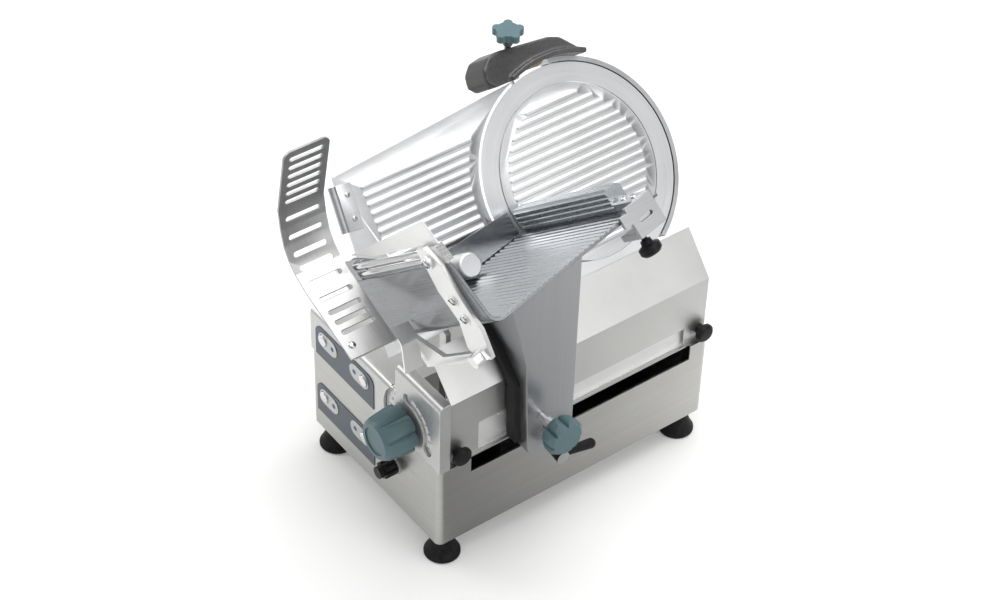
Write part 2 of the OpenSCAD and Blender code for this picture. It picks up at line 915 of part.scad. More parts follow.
// A flat belt around two pulleys: the first at the origin, the second lower on the same line
module belt_line(r1, r2, dist, grow) {
  a = asin((r1 - r2) / dist);
  circle(r = r1 + grow);
  translate([0, -dist])
    circle(r = r2 + grow);
  polygon([
    (r1 + grow) * [cos(a), -sin(a)], [0, -dist] + (r2 + grow) * [cos(a), -sin(a)],
    [0, -dist] + (r2 + grow) * [-cos(a), -sin(a)], (r1 + grow) * [-cos(a), -sin(a)]
  ]);
}
module blade_belt() {
  color("black")
    at_blade()
      on_face(pulley_back + gap, pulley_back + pulley_w - gap)
        difference() {
          belt_line(blade_pulley_r, motor_pulley_r, -motor_u, gap + belt_thick);
          belt_line(blade_pulley_r, motor_pulley_r, -motor_u, gap);
        }
}

// Sharpener on top of the blade's ring

sharp_front = 24;
sharp_back = -34;
sharp_in = 3;
sharp_wall = 4;
sharp_left = -96;
sharp_right = 63;
// The gauge plate's upper edge, which the sharpener stays above
gauge_short = 3;
gauge_high_back = blade_r - gauge_short;
sharp_low = gauge_high_back + 2 * over;
sharp_up = 43;
sharp_high = blade_r + sharp_up;
sharp_cut = 16;
module sharpener_outline(g) {
  difference() {
    polygon([
      [sharp_left + sharp_cut * 5 / 8 + g, sharp_low + g], [sharp_left + g, sharp_low + sharp_cut * 11 / 16],
      [sharp_left + sharp_cut * 3 / 16 + g, sharp_high - sharp_cut - g],
      [sharp_left + sharp_cut, sharp_high - sharp_cut * 3 / 16 - g],
      [sharp_left + sharp_cut * 17 / 8, sharp_high - g],
      [sharp_right - sharp_cut * 45 / 16, sharp_high - sharp_cut / 2 - g],
      [sharp_right - sharp_cut * 7 / 4, sharp_high - sharp_cut * 7 / 8 - g],
      [sharp_right - sharp_cut * 3 / 4 - g, sharp_high - sharp_cut * 15 / 8],
      [sharp_right - g, sharp_high - sharp_cut * 11 / 4], [sharp_right - g, blade_r - sharp_cut / 2],
      [sharp_left / 2, sharp_low]
    ]);
    circle(r = ring_r + gap + g, $fn = 128);
  }
}
module sharpener_cover() {
  color("dimgray")
    at_blade()
      difference() {
        union() {
          on_face(sharp_back, sharp_front)
            sharpener_outline(0);
          // the flange that follows the ring
          on_face(sharp_back + sharp_wall, sharp_front + sharp_wall)
            intersection() {
              difference() {
                circle(r = ring_r + 2 * sharp_wall, $fn = 128);
                circle(r = ring_r + gap, $fn = 128);
              }
              wedge(blade_r, 66, 111);
            }
        }
        // the hollow for the stones, open towards the blade
        translate([sharp_back + sharp_wall, stone_y - stone_room, blade_r])
          cube([sharp_front - sharp_back - 2 * sharp_wall, 2 * stone_room, sharp_up - 2 * sharp_wall]);
        translate([post_n, post_y, blade_r])
          cylinder(r = post_r + run, h = sqrt(ring_r * ring_r - post_y * post_y) + 2.3 * post_r - blade_r);
        // the recess for the knob's screw
        sharp_screw_place()
          translate([0, 0, -sharp_screw_len])
            cylinder(r = sharp_screw_r + gap, h = 3 * sharp_screw_len);
      }
}
sharp_screw_r = 4.5;
sharp_screw_len = 40;
sharp_knob_r = 22;
sharp_knob_up = 26;
sharp_knob_len = 11;
sharp_collar = 12;
sharp_screw_n = 12;
sharp_screw_y = -42;
// The sharpener's knob stands upright on the sloping casting
module sharp_screw_place() {
  translate([sharp_screw_n, sharp_screw_y, sharp_high - 1.5 * sharp_wall])
    rotate([0, blade_lean, 0])
      children();
}
module sharpener_knob() {
  color("cadetblue")
    at_blade()
      sharp_screw_place() {
        translate([0, 0, sharp_knob_up])
          linear_extrude(height = sharp_knob_len)
            lobes(sharp_knob_r, sharp_knob_r * 0.28, 5);
        translate([0, 0, sharp_collar])
          cylinder(r1 = sharp_knob_r * 0.3, r2 = sharp_knob_r * 0.45, h = sharp_knob_up - sharp_collar);
        translate([0, 0, -2 * sharp_collar])
          cylinder(r = sharp_screw_r, h = 3 * sharp_collar);
      }
}
stone_r = 15;
stone_w = 9;
spindle_r = 4;
stone_y = -8;
stone_back = -16;
stone_front = 5;
// The sharpening and the deburring stone on their spindle
module sharpener_stones() {
  color("tan")
    at_blade()
      translate([0, stone_y, blade_r + stone_r + sharp_in]) {
        for (n = [stone_back, stone_front])
          bar_n(stone_r, n, n + stone_w);
        bar_n(spindle_r, sharp_back + sharp_wall, sharp_front - sharp_wall);
      }
}

// Gauge plate

gauge_thick = 7;
gauge_proud = 6;
gauge_front = -half_len - gauge_proud;
gauge_gap = 3.5;
// The closed plate's depth behind the blade's face
gauge_low_n = 0.5;
gauge_low_in = 32;
gauge_margin = 26;
gauge_low = gauge_low_in - blade_r;
gauge_high_front = blade_r - gauge_margin;
gauge_ribs = floor((gauge_high_front - gauge_margin - gauge_low) / rib_pitch);
module gauge_outline() {
  difference() {
    polygon([
      [gauge_front - blade_back - gauge_splay, gauge_low],
      [gauge_bar_y - 3 * gauge_bar_r, gauge_low],
      [gauge_bar_y - 1.4 * gauge_bar_r, gauge_bar_u - 1.4 * gauge_bar_r],
      [gauge_bar_y + 1.4 * gauge_bar_r, gauge_bar_u - 1.4 * gauge_bar_r],
      [gauge_bar_y + 1.4 * gauge_bar_r, gauge_low], [-gauge_root, gauge_low], [-gauge_root, gauge_high_back],
      [gauge_front - blade_back, gauge_high_front]
    ]);
    circle(r = blade_r + gauge_gap, $fn = 128);
  }
}
gauge_splay = 22;
gauge_bar_r = 8;
gauge_bar_y = -114;
gauge_bar_drop = 18;
gauge_bar_u = gauge_low - gauge_bar_drop;
gauge_root = 40;
rib_front = 34;
rib_back = 52;
gauge_guide_n = -gauge_thick - gauge_travel - gauge_root;
gauge_guide_len = 34;
leg_w = 14;
leg_thick = 8;
module gauge_plate() {
  color("gainsboro")
    at_blade() {
      on_face(-gauge_thick, -gauge_low_n)
        gauge_outline();
      for (i = [0 : gauge_ribs - 1])
        let (
          u = gauge_high_front - gauge_margin - i * rib_pitch,
          inner = sqrt(max(pow(blade_r + gauge_gap + rib_r * 2.5, 2) - u * u, 0))
        )
          intersection() {
            rib(gauge_front - blade_back + rib_front, -max(inner, rib_back), u,
              rib_proud - rib_r - gauge_low_n);
            translate([-gauge_thick / 2, gauge_front - blade_back, gauge_low])
              cube([gauge_thick, -gauge_front, gauge_high_back - gauge_low]);
          }
      translate([0, gauge_bar_y, gauge_bar_u])
        bar_n(gauge_bar_r, gauge_guide_n - 2 * gauge_bar_r, -gauge_thick / 2);
    }
  // the leg that rests on the scroll cam behind the thickness knob
  color("gainsboro")
    across(-half_len + shaft_back - cam_thick, -half_len + shaft_back - cam_thick + leg_thick)
      polygon([
        [dial_x - leg_w / 2, dial_z + cam_r + gap], [dial_x + leg_w / 2, dial_z + cam_r + gap],
        [dial_x + leg_w / 2, lean(-gauge_thick, gauge_low)[1]],
        lean(-gauge_thick / 2, gauge_low + leg_w / 2), lean(-gauge_thick, gauge_low + 4 * leg_w),
        lean(-2 * gauge_thick, gauge_low + 3 * leg_w), [dial_x - leg_w / 2, lean(0, gauge_low)[1] - leg_w]
      ]);
}
edge_bar_r = 5.5;
edge_bar_len = 62;
edge_plate_w = 20;
edge_plate_thick = 1.8;
edge_start = gauge_front - blade_back - gauge_splay * 2 * edge_bar_r / (gauge_high_front - gauge_low);
edge_splay = atan(gauge_splay / (gauge_high_front - gauge_low));
module gauge_end_plate() {
  color("white")
    at_blade()
      translate([0, edge_start, gauge_high_front - 2 * edge_bar_r])
        rotate([-edge_splay, 0, 0])
          translate([0, 0, -edge_bar_len])
            difference() {
              union() {
                translate([-gauge_low_n, -edge_bar_r, 0])
                  cube([edge_plate_thick, edge_plate_w + edge_bar_r, edge_bar_len]);
                translate([-edge_bar_r / 2, -edge_bar_r - gap, 0])
                  cylinder(r = edge_bar_r, h = edge_bar_len);
              }
              translate([edge_bar_r / 2, -3 * edge_bar_r, -over])
                cube([edge_bar_r, 6 * edge_bar_r, edge_bar_len + 2 * over]);
              translate([-gauge_thick - edge_bar_r, -gap, -over])
                cube([edge_bar_r + gauge_thick - gauge_low_n, edge_plate_w, edge_bar_len + 2 * over]);
            }
}

// Guide rods and drive of the carriage, inside the base

rod_in = 38;
rod_drop = 35;
rail_in = 50;
rail_drop = 10;
rod_x = cover_x - rod_in;
rod_z = base_top - rod_drop;
rail_x = rod_x - rail_in;
rail_z = rod_z - rail_drop;
rail_r = guide_r * 0.65;
support_thick = 14;
support_in = 6;
support_y = half_len - base_wall - support_thick - support_in;
module both_rods(grow, half) {
  for (rod = [[rod_x, rod_z, guide_r], [rail_x, rail_z, rail_r]])
    translate([rod[0], -half, rod[1]])
      rotate([-90, 0, 0])
        cylinder(r = rod[2] + grow, h = 2 * half);
}
module guide_rods() {
  color("silver")
    both_rods(0, support_y + support_thick);
}
plate_top = foot_h + floor_plate;
belt_in = 32;
belt_side = 1;
belt_x = rail_x - belt_in;
belt_w = 12;
drive_r = 18;
drive_in = 20;
drive_z = rail_z - belt_in;
drive_y = [drive_in - support_y, support_y - drive_in];
stub_r = 5;
module guide_supports() {
  color("lightgray")
    difference() {
      union() {
        for (s = [-1, 1])
          across(s * (support_y + support_thick / 2) - support_thick / 2,
            s * (support_y + support_thick / 2) + support_thick / 2)
            polygon([
              [rail_x - 2 * rail_r, plate_top], [rod_x, plate_top],
              [rod_x + 1.6 * guide_r, rod_z - 2 * guide_r],
              [rod_x + 1.6 * guide_r, rod_z + 1.6 * guide_r],
              [rail_x - 2 * rail_r, rail_z + 2 * rail_r]
            ]);
        // the stand of the idle pulley
        translate([belt_x - 2 * drive_r, drive_y[0] - drive_r / 2, plate_top])
          cube([drive_r, drive_r, drive_z + drive_r / 2 - plate_top]);
        translate([belt_x, drive_y[0], drive_z])
          bar_n(stub_r, -2 * drive_r, belt_w);
      }
      both_rods(run, half_len);
    }
}
arm_out = 28;
arm_drop = 21;
arm_deep = 24;
arm_x = half_wid + arm_out;
arm_wall = 6;
arm_low = base_top - arm_drop;
arm_in = arm_x - arm_deep;
arm_n = 12;
arm_round = 20;
neck_low = arm_low + arm_wall + gap;
neck_h = 9;
tongue_h = 92;
tongue_top = arm_low + tongue_h;
block_lap = 4;
tongue_gap = 2;
star_in = 21;
star_up = 52;
star_y = arm_front + star_in;
star_z = base_top + star_up;
star_shaft_r = 6;
lever_in = 34;
lever_drop = 8;
lever_y = arm_front + lever_in;
lever_z = base_top - lever_drop;
lever_shaft_r = 5;
jaw_h = 10;
module shaft_bores(from, to) {
  for (b = [[star_y, star_z, star_shaft_r], [lever_y, lever_z, lever_shaft_r]])
    translate([arm_x, b[0], b[1]])
      bar_n(b[2] + run, from, to);
}
module carriage_foot() {
  color("lightgray")
    difference() {
      union() {
        translate([rod_x - 2 * guide_r, arm_front - block_lap, rod_z - 2 * guide_r])
          cube([4 * guide_r, arm_wid + 2 * block_lap, neck_low + neck_h - rod_z + 2 * guide_r]);
        translate([rod_x, arm_front + arm_round, neck_low])
          cube([arm_x - arm_wall - rod_x, arm_wid - 2 * arm_round, neck_h]);
        // the tongue inside the hollow arm
        along_x(arm_x - arm_wall - 2 * neck_h, arm_x - arm_wall)
          polygon([
            [arm_front + arm_round, neck_low], [arm_back - arm_round, neck_low],
            [arm_back - arm_wall - tongue_gap, arm_low + arm_round],
            [arm_back - arm_wall - tongue_gap, tongue_top],
            [arm_front + arm_wall + tongue_gap, tongue_top],
            [arm_front + arm_wall + tongue_gap, arm_low + arm_round]
          ]);
        // the wing that reaches the second rod and grips the belt
        translate([belt_x - belt_w / 2 - belt_side, arm_front + arm_wid / 3, rail_z - 1.7 * rail_r])
          cube([rod_x - belt_x + belt_w / 2 + belt_side, arm_wid / 3, 3.4 * rail_r]);
        translate([belt_x - belt_w / 2 - belt_side, arm_front + arm_wid / 3, drive_z + drive_r - jaw_h])
          cube([2 * belt_w, arm_wid / 3, rail_z - drive_z - drive_r + jaw_h]);
      }
      both_rods(run, half_len);
      translate([belt_x - belt_w, arm_front, drive_z + drive_r])
        cube([1.5 * belt_w + gap, arm_wid, belt_thick + 2 * gap]);
      shaft_bores(-3 * neck_h, 0);
    }
}
gear_w = 40;
gear_d = 50;
gear_up = 30;
drive_motor_r = 32;
drive_motor_len = 80;
drive_motor_in = 6;
module drive_motor() {
  color("dimgray")
    difference() {
      union() {
        translate([belt_x - belt_w - gear_w, drive_y[1] - gear_d / 2, plate_top])
          cube([gear_w, gear_d, drive_z + gear_up - plate_top]);
        translate([belt_x - belt_w - gear_w, drive_y[1] - drive_motor_in, drive_z])
          bar_n(drive_motor_r, -drive_motor_len, 0);
      }
      translate([belt_x - belt_w, drive_y[1], drive_z])
        bar_n(stub_r + run, -gear_w / 2, gear_w / 2);
    }
}
module drive_pulley() {
  color("silver")
    translate([belt_x, drive_y[1], drive_z]) {
      bar_n(drive_r, -belt_w / 2 - belt_side, belt_w / 2 + belt_side);
      bar_n(stub_r, -belt_w - gear_w / 2, 0);
    }
}
module idle_pulley() {
  color("silver")
    translate([belt_x, drive_y[0], drive_z])
      difference() {
        bar_n(drive_r, -belt_w / 2 - belt_side, belt_w / 2 + belt_side);
        bar_n(stub_r + run, -belt_w, belt_w);
      }
}
module drive_belt() {
  color("black")
    translate([belt_x - belt_w / 2, 0, drive_z])
      rotate([90, 0, 90])
        linear_extrude(height = belt_w)
          difference() {
            pill(drive_y[1] - drive_y[0] + 2 * (drive_r + gap + belt_thick), drive_r + gap + belt_thick);
            pill(drive_y[1] - drive_y[0] + 2 * (drive_r + gap), drive_r + gap);
          }
}
box_w = belt_x - 3 * belt_w + half_wid - 2 * foot_inset;
box_d = 130;
box_h = 52;
module control_box() {
  color("slategray")
    difference() {
      translate([-half_wid + 2 * foot_inset, -box_d / 2, plate_top])
        cube([box_w, box_d, box_h]);
      // the cable's way in
      translate([-half_wid + 2 * foot_inset + box_w / 3, box_d, plate_top + box_h * 0.7])
        rotate([90, 0, 0])
          cylinder(r = gland_r / 2, h = box_d);
    }
}

// Carriage arm

arm_knee_up = 157;
arm_waist_up = 268;
arm_top_up = 400;
arm_flare = 50;
arm_waist_z = base_top + arm_waist_up;
arm_top_z = base_top + arm_top_up;
module arm_side(g) {
  polygon(concat(
    arc(arm_front + arm_round, arm_low + arm_round, arm_round - g, 180, 270),
    arc(arm_back - arm_round, arm_low + arm_round, arm_round - g, 270, 360),
    [
      [arm_back - g, arm_waist_z], [arm_back - g, arm_top_z], [arm_front - arm_wid - g, arm_top_z],
      [arm_front - 0.66 * arm_wid + g, arm_waist_z + arm_flare],
      [arm_front - 0.45 * arm_wid + g, arm_waist_z],
      [arm_front - 0.1 * arm_wid + g, base_top + arm_knee_up]
    ]
  ));
}
module along_x(from, to) {
  translate([from, 0, 0])
    rotate([90, 0, 90])
      linear_extrude(height = to - from)
        children();
}
module arm_section(g, inner) {
  polygon([
    [arm_x - g, arm_low + g], [arm_x - g, arm_top_z],
    lean(arm_n - inner, 0), lean(arm_n - inner, arm_break_u),
    [arm_in - inner, lean(arm_n, arm_break_u)[1]], [arm_in - inner, arm_low + g]
  ]);
}
arm_break_u = -(arm_in - blade_x - arm_n * cos(blade_lean)) / sin(blade_lean);
// Everything above the underside of the tray, less a depth
module above_tray(depth) {
  at_tray()
    translate([-tray_wid, -tray_len, -tray_thick - depth])
      cube([3 * tray_wid, 3 * tray_len, tray_len]);
}
module carriage_arm() {
  color("gainsboro")
    difference() {
      intersection() {
        across(arm_front - 2 * arm_wid, arm_back)
          arm_section(0, 0);
        along_x(0, arm_x + over)
          arm_side(0);
      }
      difference() {
        intersection() {
          across(arm_front - 2 * arm_wid, arm_back)
            arm_section(arm_wall, 2 * arm_wall);
          along_x(0, arm_x + over)
            arm_side(arm_wall);
        }
        above_tray(arm_wall);
      }
      above_tray(0);
      shaft_bores(-2 * arm_wall, arm_wall);
    }
}
seal_wid = 10;
seal_gap = 2;
seal_hold = 9;
// The black wiper along the arm's front edge
module arm_seal() {
  color("black")
    difference() {
      across(arm_front - 2 * arm_wid, arm_back)
        polygon([
          [cover_x + seal_gap, base_top + 2 * seal_gap],
          [cover_x + seal_gap, lean(cover_n + seal_gap, arm_break_u)[1]],
          lean(cover_n + seal_gap, arm_break_u), lean(cover_n + seal_gap, tray_u - 3 * tray_thick),
          lean(arm_n + seal_hold, tray_u - 3 * tray_thick), lean(arm_n + seal_hold, arm_break_u),
          [arm_in + seal_hold, lean(arm_n, arm_break_u)[1]], [arm_in + seal_hold, base_top + 2 * seal_gap]
        ]);
      along_x(0, arm_x + over)
        arm_side(0);
      translate([0, -seal_wid, 0])
        along_x(0, arm_x + over)
          seal_front();
      above_tray(0);
    }
}
cover_n = (cover_x - blade_x) * cos(blade_lean) + (cover_fold - blade_z) * sin(blade_lean);
// What lies in front of the arm
module seal_front() {
  difference() {
    translate([arm_front - 3 * arm_wid, 0])
      square([4 * arm_wid, 2 * arm_top_z]);
    arm_side(0);
  }
}
star_head = 24;
star_stand = 34;
star_r = 29;
module star_knob() {
  color("cadetblue")
    translate([arm_x, star_y, star_z])
      rotate([0, 90, 0]) {
        translate([0, 0, -arm_wall - neck_h])
          cylinder(r = star_shaft_r, h = arm_wall + neck_h + star_stand);
        intersection() {
          translate([0, 0, star_stand])
            linear_extrude(height = star_head)
              lobes(star_r, star_r * 0.3, 7);
          rotate_extrude()
            polygon([
              [0, star_stand], [star_r * 0.85, star_stand], [star_r, star_stand + star_head * 0.3],
              [star_r, star_stand + star_head * 0.7], [star_r * 0.8, star_stand + star_head],
              [0, star_stand + star_head]
            ]);
        }
        translate([0, 0, star_stand / 2])
          cylinder(r = star_shaft_r * 1.8, h = star_stand / 2);
      }
}
lever_stand = 26;
lever_hub_r = 10;
lever_len = 56;
lever_droop = 12;
module clamp_lever() {
  color("black")
    translate([arm_x, lever_y, lever_z]) {
      rotate([0, 90, 0]) {
        translate([0, 0, -arm_wall - neck_h])
          cylinder(r = lever_shaft_r, h = arm_wall + neck_h + lever_stand);
        translate([0, 0, lever_stand - lever_hub_r])
          cylinder(r1 = lever_hub_r * 0.8, r2 = lever_hub_r, h = 2 * lever_hub_r);
      }
      translate([lever_stand, 0, 0])
        rotate([-90 - lever_droop, 0, 0]) {
          cylinder(r1 = lever_hub_r * 0.55, r2 = lever_hub_r * 0.75, h = lever_len);
          translate([0, 0, lever_len])
            sphere(r = lever_hub_r * 0.75);
        }
    }
}

// Product tray and what it carries

tray_y = -256;
tray_u = -93;
tray_n = 6;
wall_lean = 4;
tray_round = 14;
tray_round_a = tray_round * (1 - sin(wall_lean)) / cos(wall_lean);
// The tray's frame: x across the slope, y along its floor, z out of the floor
module at_tray() {
  at_blade()
    translate([0, tray_y - blade_back, tray_u])
      rotate([tray_lean, 0, 0])
        children();
}
// The front wall's frame: x across the slope, y up the wall, z outwards
module at_wall() {
  at_tray()
    rotate([90 + wall_lean, 0, 0])
      children();
}
flute_pitch = 9;
flute_h = 1.2;
flutes = floor((tray_len - 2 * tray_round) / flute_pitch);
wall_dir = [-sin(wall_lean), cos(wall_lean)];
wall_out = [-cos(wall_lean), -sin(wall_lean)];
module product_tray() {
  color("gainsboro")
    at_tray()
      on_face(tray_n, tray_n + tray_wid)
        polygon(concat(
          [tray_wall_h * wall_dir + tray_thick * wall_out],
          arc(tray_round_a, tray_round, tray_round + tray_thick, 180 + wall_lean, 270),
          [[tray_len, -tray_thick], [tray_len, 0]],
          [
            for (i = [flutes : -1 : 1], p = [[0.8, 0], [0.6, 1], [0.3, 1], [0.1, 0]])
              [tray_round + (i - 1 + p[0]) * flute_pitch, p[1] * flute_h]
          ],
          arc(tray_round_a, tray_round, tray_round, 270, 180 + wall_lean),
          [tray_wall_h * wall_dir]
        ));
}
wing_thick = 3;
wing_start = 60;
wing_h = 42;
module side_wing() {
  color("white")
    at_wall()
      translate([0, 0, rail_out - wing_thick / 2])
        linear_extrude(height = wing_thick)
          polygon([
            [tray_n + wing_start, rail_up[1] + wing_h * 3 / 7],
            [tray_n + 2 * wing_start, rail_up[1] + 2.5 * press_rod_r],
            [tray_n + tray_wid - rail_block_w, rail_up[1] + 2.5 * press_rod_r],
            [tray_n + tray_wid - rail_block_w, rail_up[1] + 2 * press_rod_r],
            [tray_n + tray_wid, rail_up[1] + 2 * press_rod_r], [tray_n + tray_wid, rail_up[1] + wing_h]
          ]);
}
rail_first = 6;
rail_second = 17;
rail_up = [tray_wall_h + rail_first, tray_wall_h + rail_second];
press_rod_r = 4;
rail_out = tray_thick - 1.6 * press_rod_r;
rail_block_w = 26;
rail_tab = 8;
slider_spare = 15;
slider_len = tray_wid - rail_block_w - rail_tab - press_travel - slider_spare;
// The pressing plate's two rods in their end blocks
module press_rails() {
  color("silver")
    at_wall() {
      for (up = rail_up)
        translate([0, up, rail_out])
          bar_n(press_rod_r, tray_n + rail_tab / 2, tray_n + tray_wid - rail_block_w / 2);
      for (x = [tray_n, tray_n + tray_wid - rail_block_w])
        translate([x, tray_wall_h, rail_out - 1.2 * press_rod_r])
          cube([
            x > tray_n ? rail_block_w : rail_tab,
            rail_up[1] + 2 * press_rod_r - tray_wall_h,
            tray_thick - rail_out + 1.2 * press_rod_r
          ]);
    }
}
bracket_thick = 6;
boss_r = 9;
boss_h = 5;
bracket_screw_r = 4;
bracket_screw_deep = 3;
// The sizes that the shares of the bracket's and the bar's outlines follow
bracket_w = 80;
bracket_h = 160;
bracket_start = 206;
bracket_low = 46;
bracket_shares = [
  [0.875, 1.04375], [0.625, 1.04375], [0.525, 0.8625], [0.375, 0.6625], [0.325, 0.375],
  [0, 0.1375], [0, 0], [0.475, 0], [0.775, 0.2625],
  [0.875, 0.5875], [1.025, 0.8625], [0.975, 0.96875]
];
bracket_screw_shares = [[0.775, 0.925, 1], [0.625, 0.5625, 0.2], [0.5625, 0.3875, 0.2]];
function on_bracket(s) = [tray_n + bracket_start + bracket_w * s[0], bracket_h * s[1] - bracket_low];
module link_bracket() {
  color("whitesmoke")
    at_wall()
      translate([0, 0, tray_thick])
        difference() {
          union() {
            linear_extrude(height = bracket_thick)
              polygon([for (s = bracket_shares) on_bracket(s)]);
            for (s = bracket_screw_shares)
              translate(on_bracket(s))
                cylinder(r = boss_r, h = bracket_thick + boss_h * s[2]);
          }
          for (s = bracket_screw_shares)
            translate(concat(on_bracket(s), bracket_thick + boss_h * s[2] - bracket_screw_deep))
              cylinder(r = bracket_screw_r, h = bracket_thick);
        }
}
bar_shares = [
  [-1.55, 0.025], [0.475, 0.025], [0.475, 0.1], [-0.8, 0.1], [-1.25, 0.3125], [-1.375, 0.4125]
];
bar_boss_shares = [0.325, 0.0625];
lip_shares = [[0, 0], [0.18, -0.1], [0.34, -0.96]];
lip_h = 50;
module guard_bar() {
  color("whitesmoke") {
    at_wall()
      translate([0, 0, tray_thick + bracket_thick])
        linear_extrude(height = bracket_thick)
          polygon([for (s = bar_shares) on_bracket(s)]);
    at_wall()
      translate(concat(on_bracket(bar_boss_shares), tray_thick + bracket_thick))
        cylinder(r = boss_r, h = 3 * bracket_thick);
    // the flange under the guard's lower end
    across(guard_y - guard_wid + 2 * guard_t, guard_y + flange_reach)
      polygon(band([guard_path[8] + 0.2 * (guard_path[7] - guard_path[8]), guard_path[8]], -guard_t));
    across(guard_y + guard_t, guard_y + flange_reach)
      polygon(band([for (s = lip_shares) guard_path[8] + lip_h * s], -guard_t));
  }
}
flange_reach = 29;
// A strip of even thickness beside a line of points
function side_of(p, i) = let (
  a = p[max(i - 1, 0)], b = p[min(i + 1, len(p) - 1)], d = (b - a) / norm(b - a)
) [-d[1], d[0]];
function band(p, t) = concat(
  p,
  [for (i = [len(p) - 1 : -1 : 0]) p[i] + t * side_of(p, i)]
);
guard_t = 3;
guard_y = -298;
guard_wid = 67;
guard_size = 200;
guard_round = 12;
guard_low = 8;
// Down the front, round the bend and out along the foot, as shares of the guard's size
guard_shares = [
  [0, 1.175], [-0.095, 0.665], [-0.075, 0.52], [-0.04, 0.4], [0.015, 0.315], [0.085, 0.255],
  [0.2, 0.19], [0.34, 0.14], [0.7, 0]
];
guard_path = [for (s = guard_shares) [blade_x, blade_z + guard_low] + guard_size * s];
// Each slot's stretch of that line, and its share of the stretch
slot_shares = [
  [0, 0.14], [0, 0.29], [0, 0.44], [0, 0.59], [0, 0.74], [0, 0.89], [1, 0.6], [2, 0.6], [3, 0.7],
  [4, 0.75], [5, 0.7], [6, 0.6], [7, 0.12], [7, 0.32], [7, 0.52]
];
slot_len = 50;
slot_r = 3.8;
module hand_guard() {
  color("silver")
    difference() {
      intersection() {
        across(guard_y - guard_wid, guard_y)
          polygon(band(guard_path, guard_t));
        along_x(blade_x - guard_size, blade_x + guard_size)
          translate([guard_y - guard_wid, blade_z - guard_size])
            soft_rect(guard_wid, guard_path[0][1] - blade_z + guard_size, guard_round);
      }
      for (s = slot_shares)
        let (
          a = guard_path[s[0]], b = guard_path[s[0] + 1], c = a + s[1] * (b - a),
          turn = atan2(b[1] - a[1], b[0] - a[0])
        )
          translate([c[0], guard_y - guard_wid / 2, c[1]])
            rotate([0, -turn, 0])
              rotate([0, 0, 90])
                linear_extrude(height = 6 * guard_t, center = true)
                  pill(slot_len, slot_r);
    }
}
press_t = 3;
press_off = 2.5;
slider_half = 1.75 * press_rod_r;
press_edge = 4;
press_rise = 20;
press_top = tray_wall_h + press_rise;
press_len = 200;
press_gap = 1;
press_low = flute_h + press_gap;
press_shares = [[1.185, 0.18], [0.7, 0.22], [0.5, 0.25]];
spacer_low = tray_wall_h + press_edge;
press_knob_a = 128;
press_knob_b = 20;
press_knob_r = 17;
press_knob_len = 49;
press_neck = 10;
module press_plate() {
  color("silver") {
    at_tray()
      on_face(tray_n + press_off, tray_n + press_off + press_t)
        polygon([
          [press_len * 0.1, press_low], [press_len * 1.18, press_low],
          for (s = press_shares) press_len * s,
          [press_len * 0.22, tray_wall_h], [press_len * 0.09, press_top], [press_edge, press_top],
          [press_edge, press_len * 0.11], [press_len * 0.05, press_len * 0.04]
        ]);
    at_wall()
      difference() {
        translate([tray_n + rail_tab + over, tray_wall_h + gap, rail_out - slider_half])
          cube([slider_len, rail_up[1] + slider_half - tray_wall_h, tray_thick - gap - rail_out + slider_half]);
        for (up = rail_up)
          translate([0, up, rail_out])
            bar_n(press_rod_r + run, 0, tray_wid);
      }
    // the spacer that joins the plate to its slider
    at_tray()
      on_face(tray_n + press_off, tray_n + rail_tab + slider_len)
        translate([press_edge, spacer_low])
          square([press_t, press_top - spacer_low]);
    at_tray()
      on_face(tray_n + rail_tab + over, tray_n + rail_tab + slider_len)
        translate([0, press_top - press_t])
          square([press_edge + over, press_t]);
  }
}
module press_knob() {
  color("lightgray")
    at_tray()
      translate([tray_n + press_off + press_t, press_knob_a, press_knob_b])
        rotate([0, 90, 0])
          rotate_extrude()
            polygon([
              [0, 0], [press_knob_r * 0.6, 0], [press_knob_r * 0.6, press_neck],
              [press_knob_r, press_neck * 1.4], [press_knob_r, press_knob_len - press_neck / 5],
              [press_knob_r - press_neck / 5, press_knob_len], [0, press_knob_len]
            ]);
}
fence_a = 243;
fence_w = 25;
fence_h = 32;
fence_start = 9;
fence_len = 241;
fence_edge = 5;
fence_flute = 1.5;
fence_pitch = 7;
fence_n = [tray_n + fence_start, tray_n + fence_start + fence_len];
module fence() {
  color("silver")
    at_tray()
      on_face(fence_n[0], fence_n[1])
        polygon(concat(
          [[fence_a, flute_h + gap]],
          [
            [fence_a + fence_w, flute_h + gap], [fence_a + fence_w, fence_h - fence_edge],
            [fence_a + fence_w - fence_edge, fence_h]
          ],
          [
            for (i = [3 : -1 : 0], p = [[0.9, 0], [0.7, 1], [0.3, 1], [0.1, 0]])
              [fence_a + fence_flute * (2 / 3 + (i + p[0]) * 3), fence_h + fence_flute * p[1]]
          ],
          [
            for (i = [3 : -1 : 0], p = [[0.9, 0], [0.7, 1], [0.3, 1], [0.1, 0]])
              [fence_a - fence_flute * p[1], flute_h + fence_flute * 2 / 3 + (i + p[0]) * fence_pitch]
          ]
        ));
}
clamp_edge = 1;
clamp_drop = 34;
clamp_back = 18;
clamp_fore = 26;
clamp_thick = 6;
clamp_rise = 10;
clamp_reach = 40;
clamp_lap = 2;
clamp_slot = 22;
clamp_a = [fence_a - clamp_back, fence_a + clamp_fore];
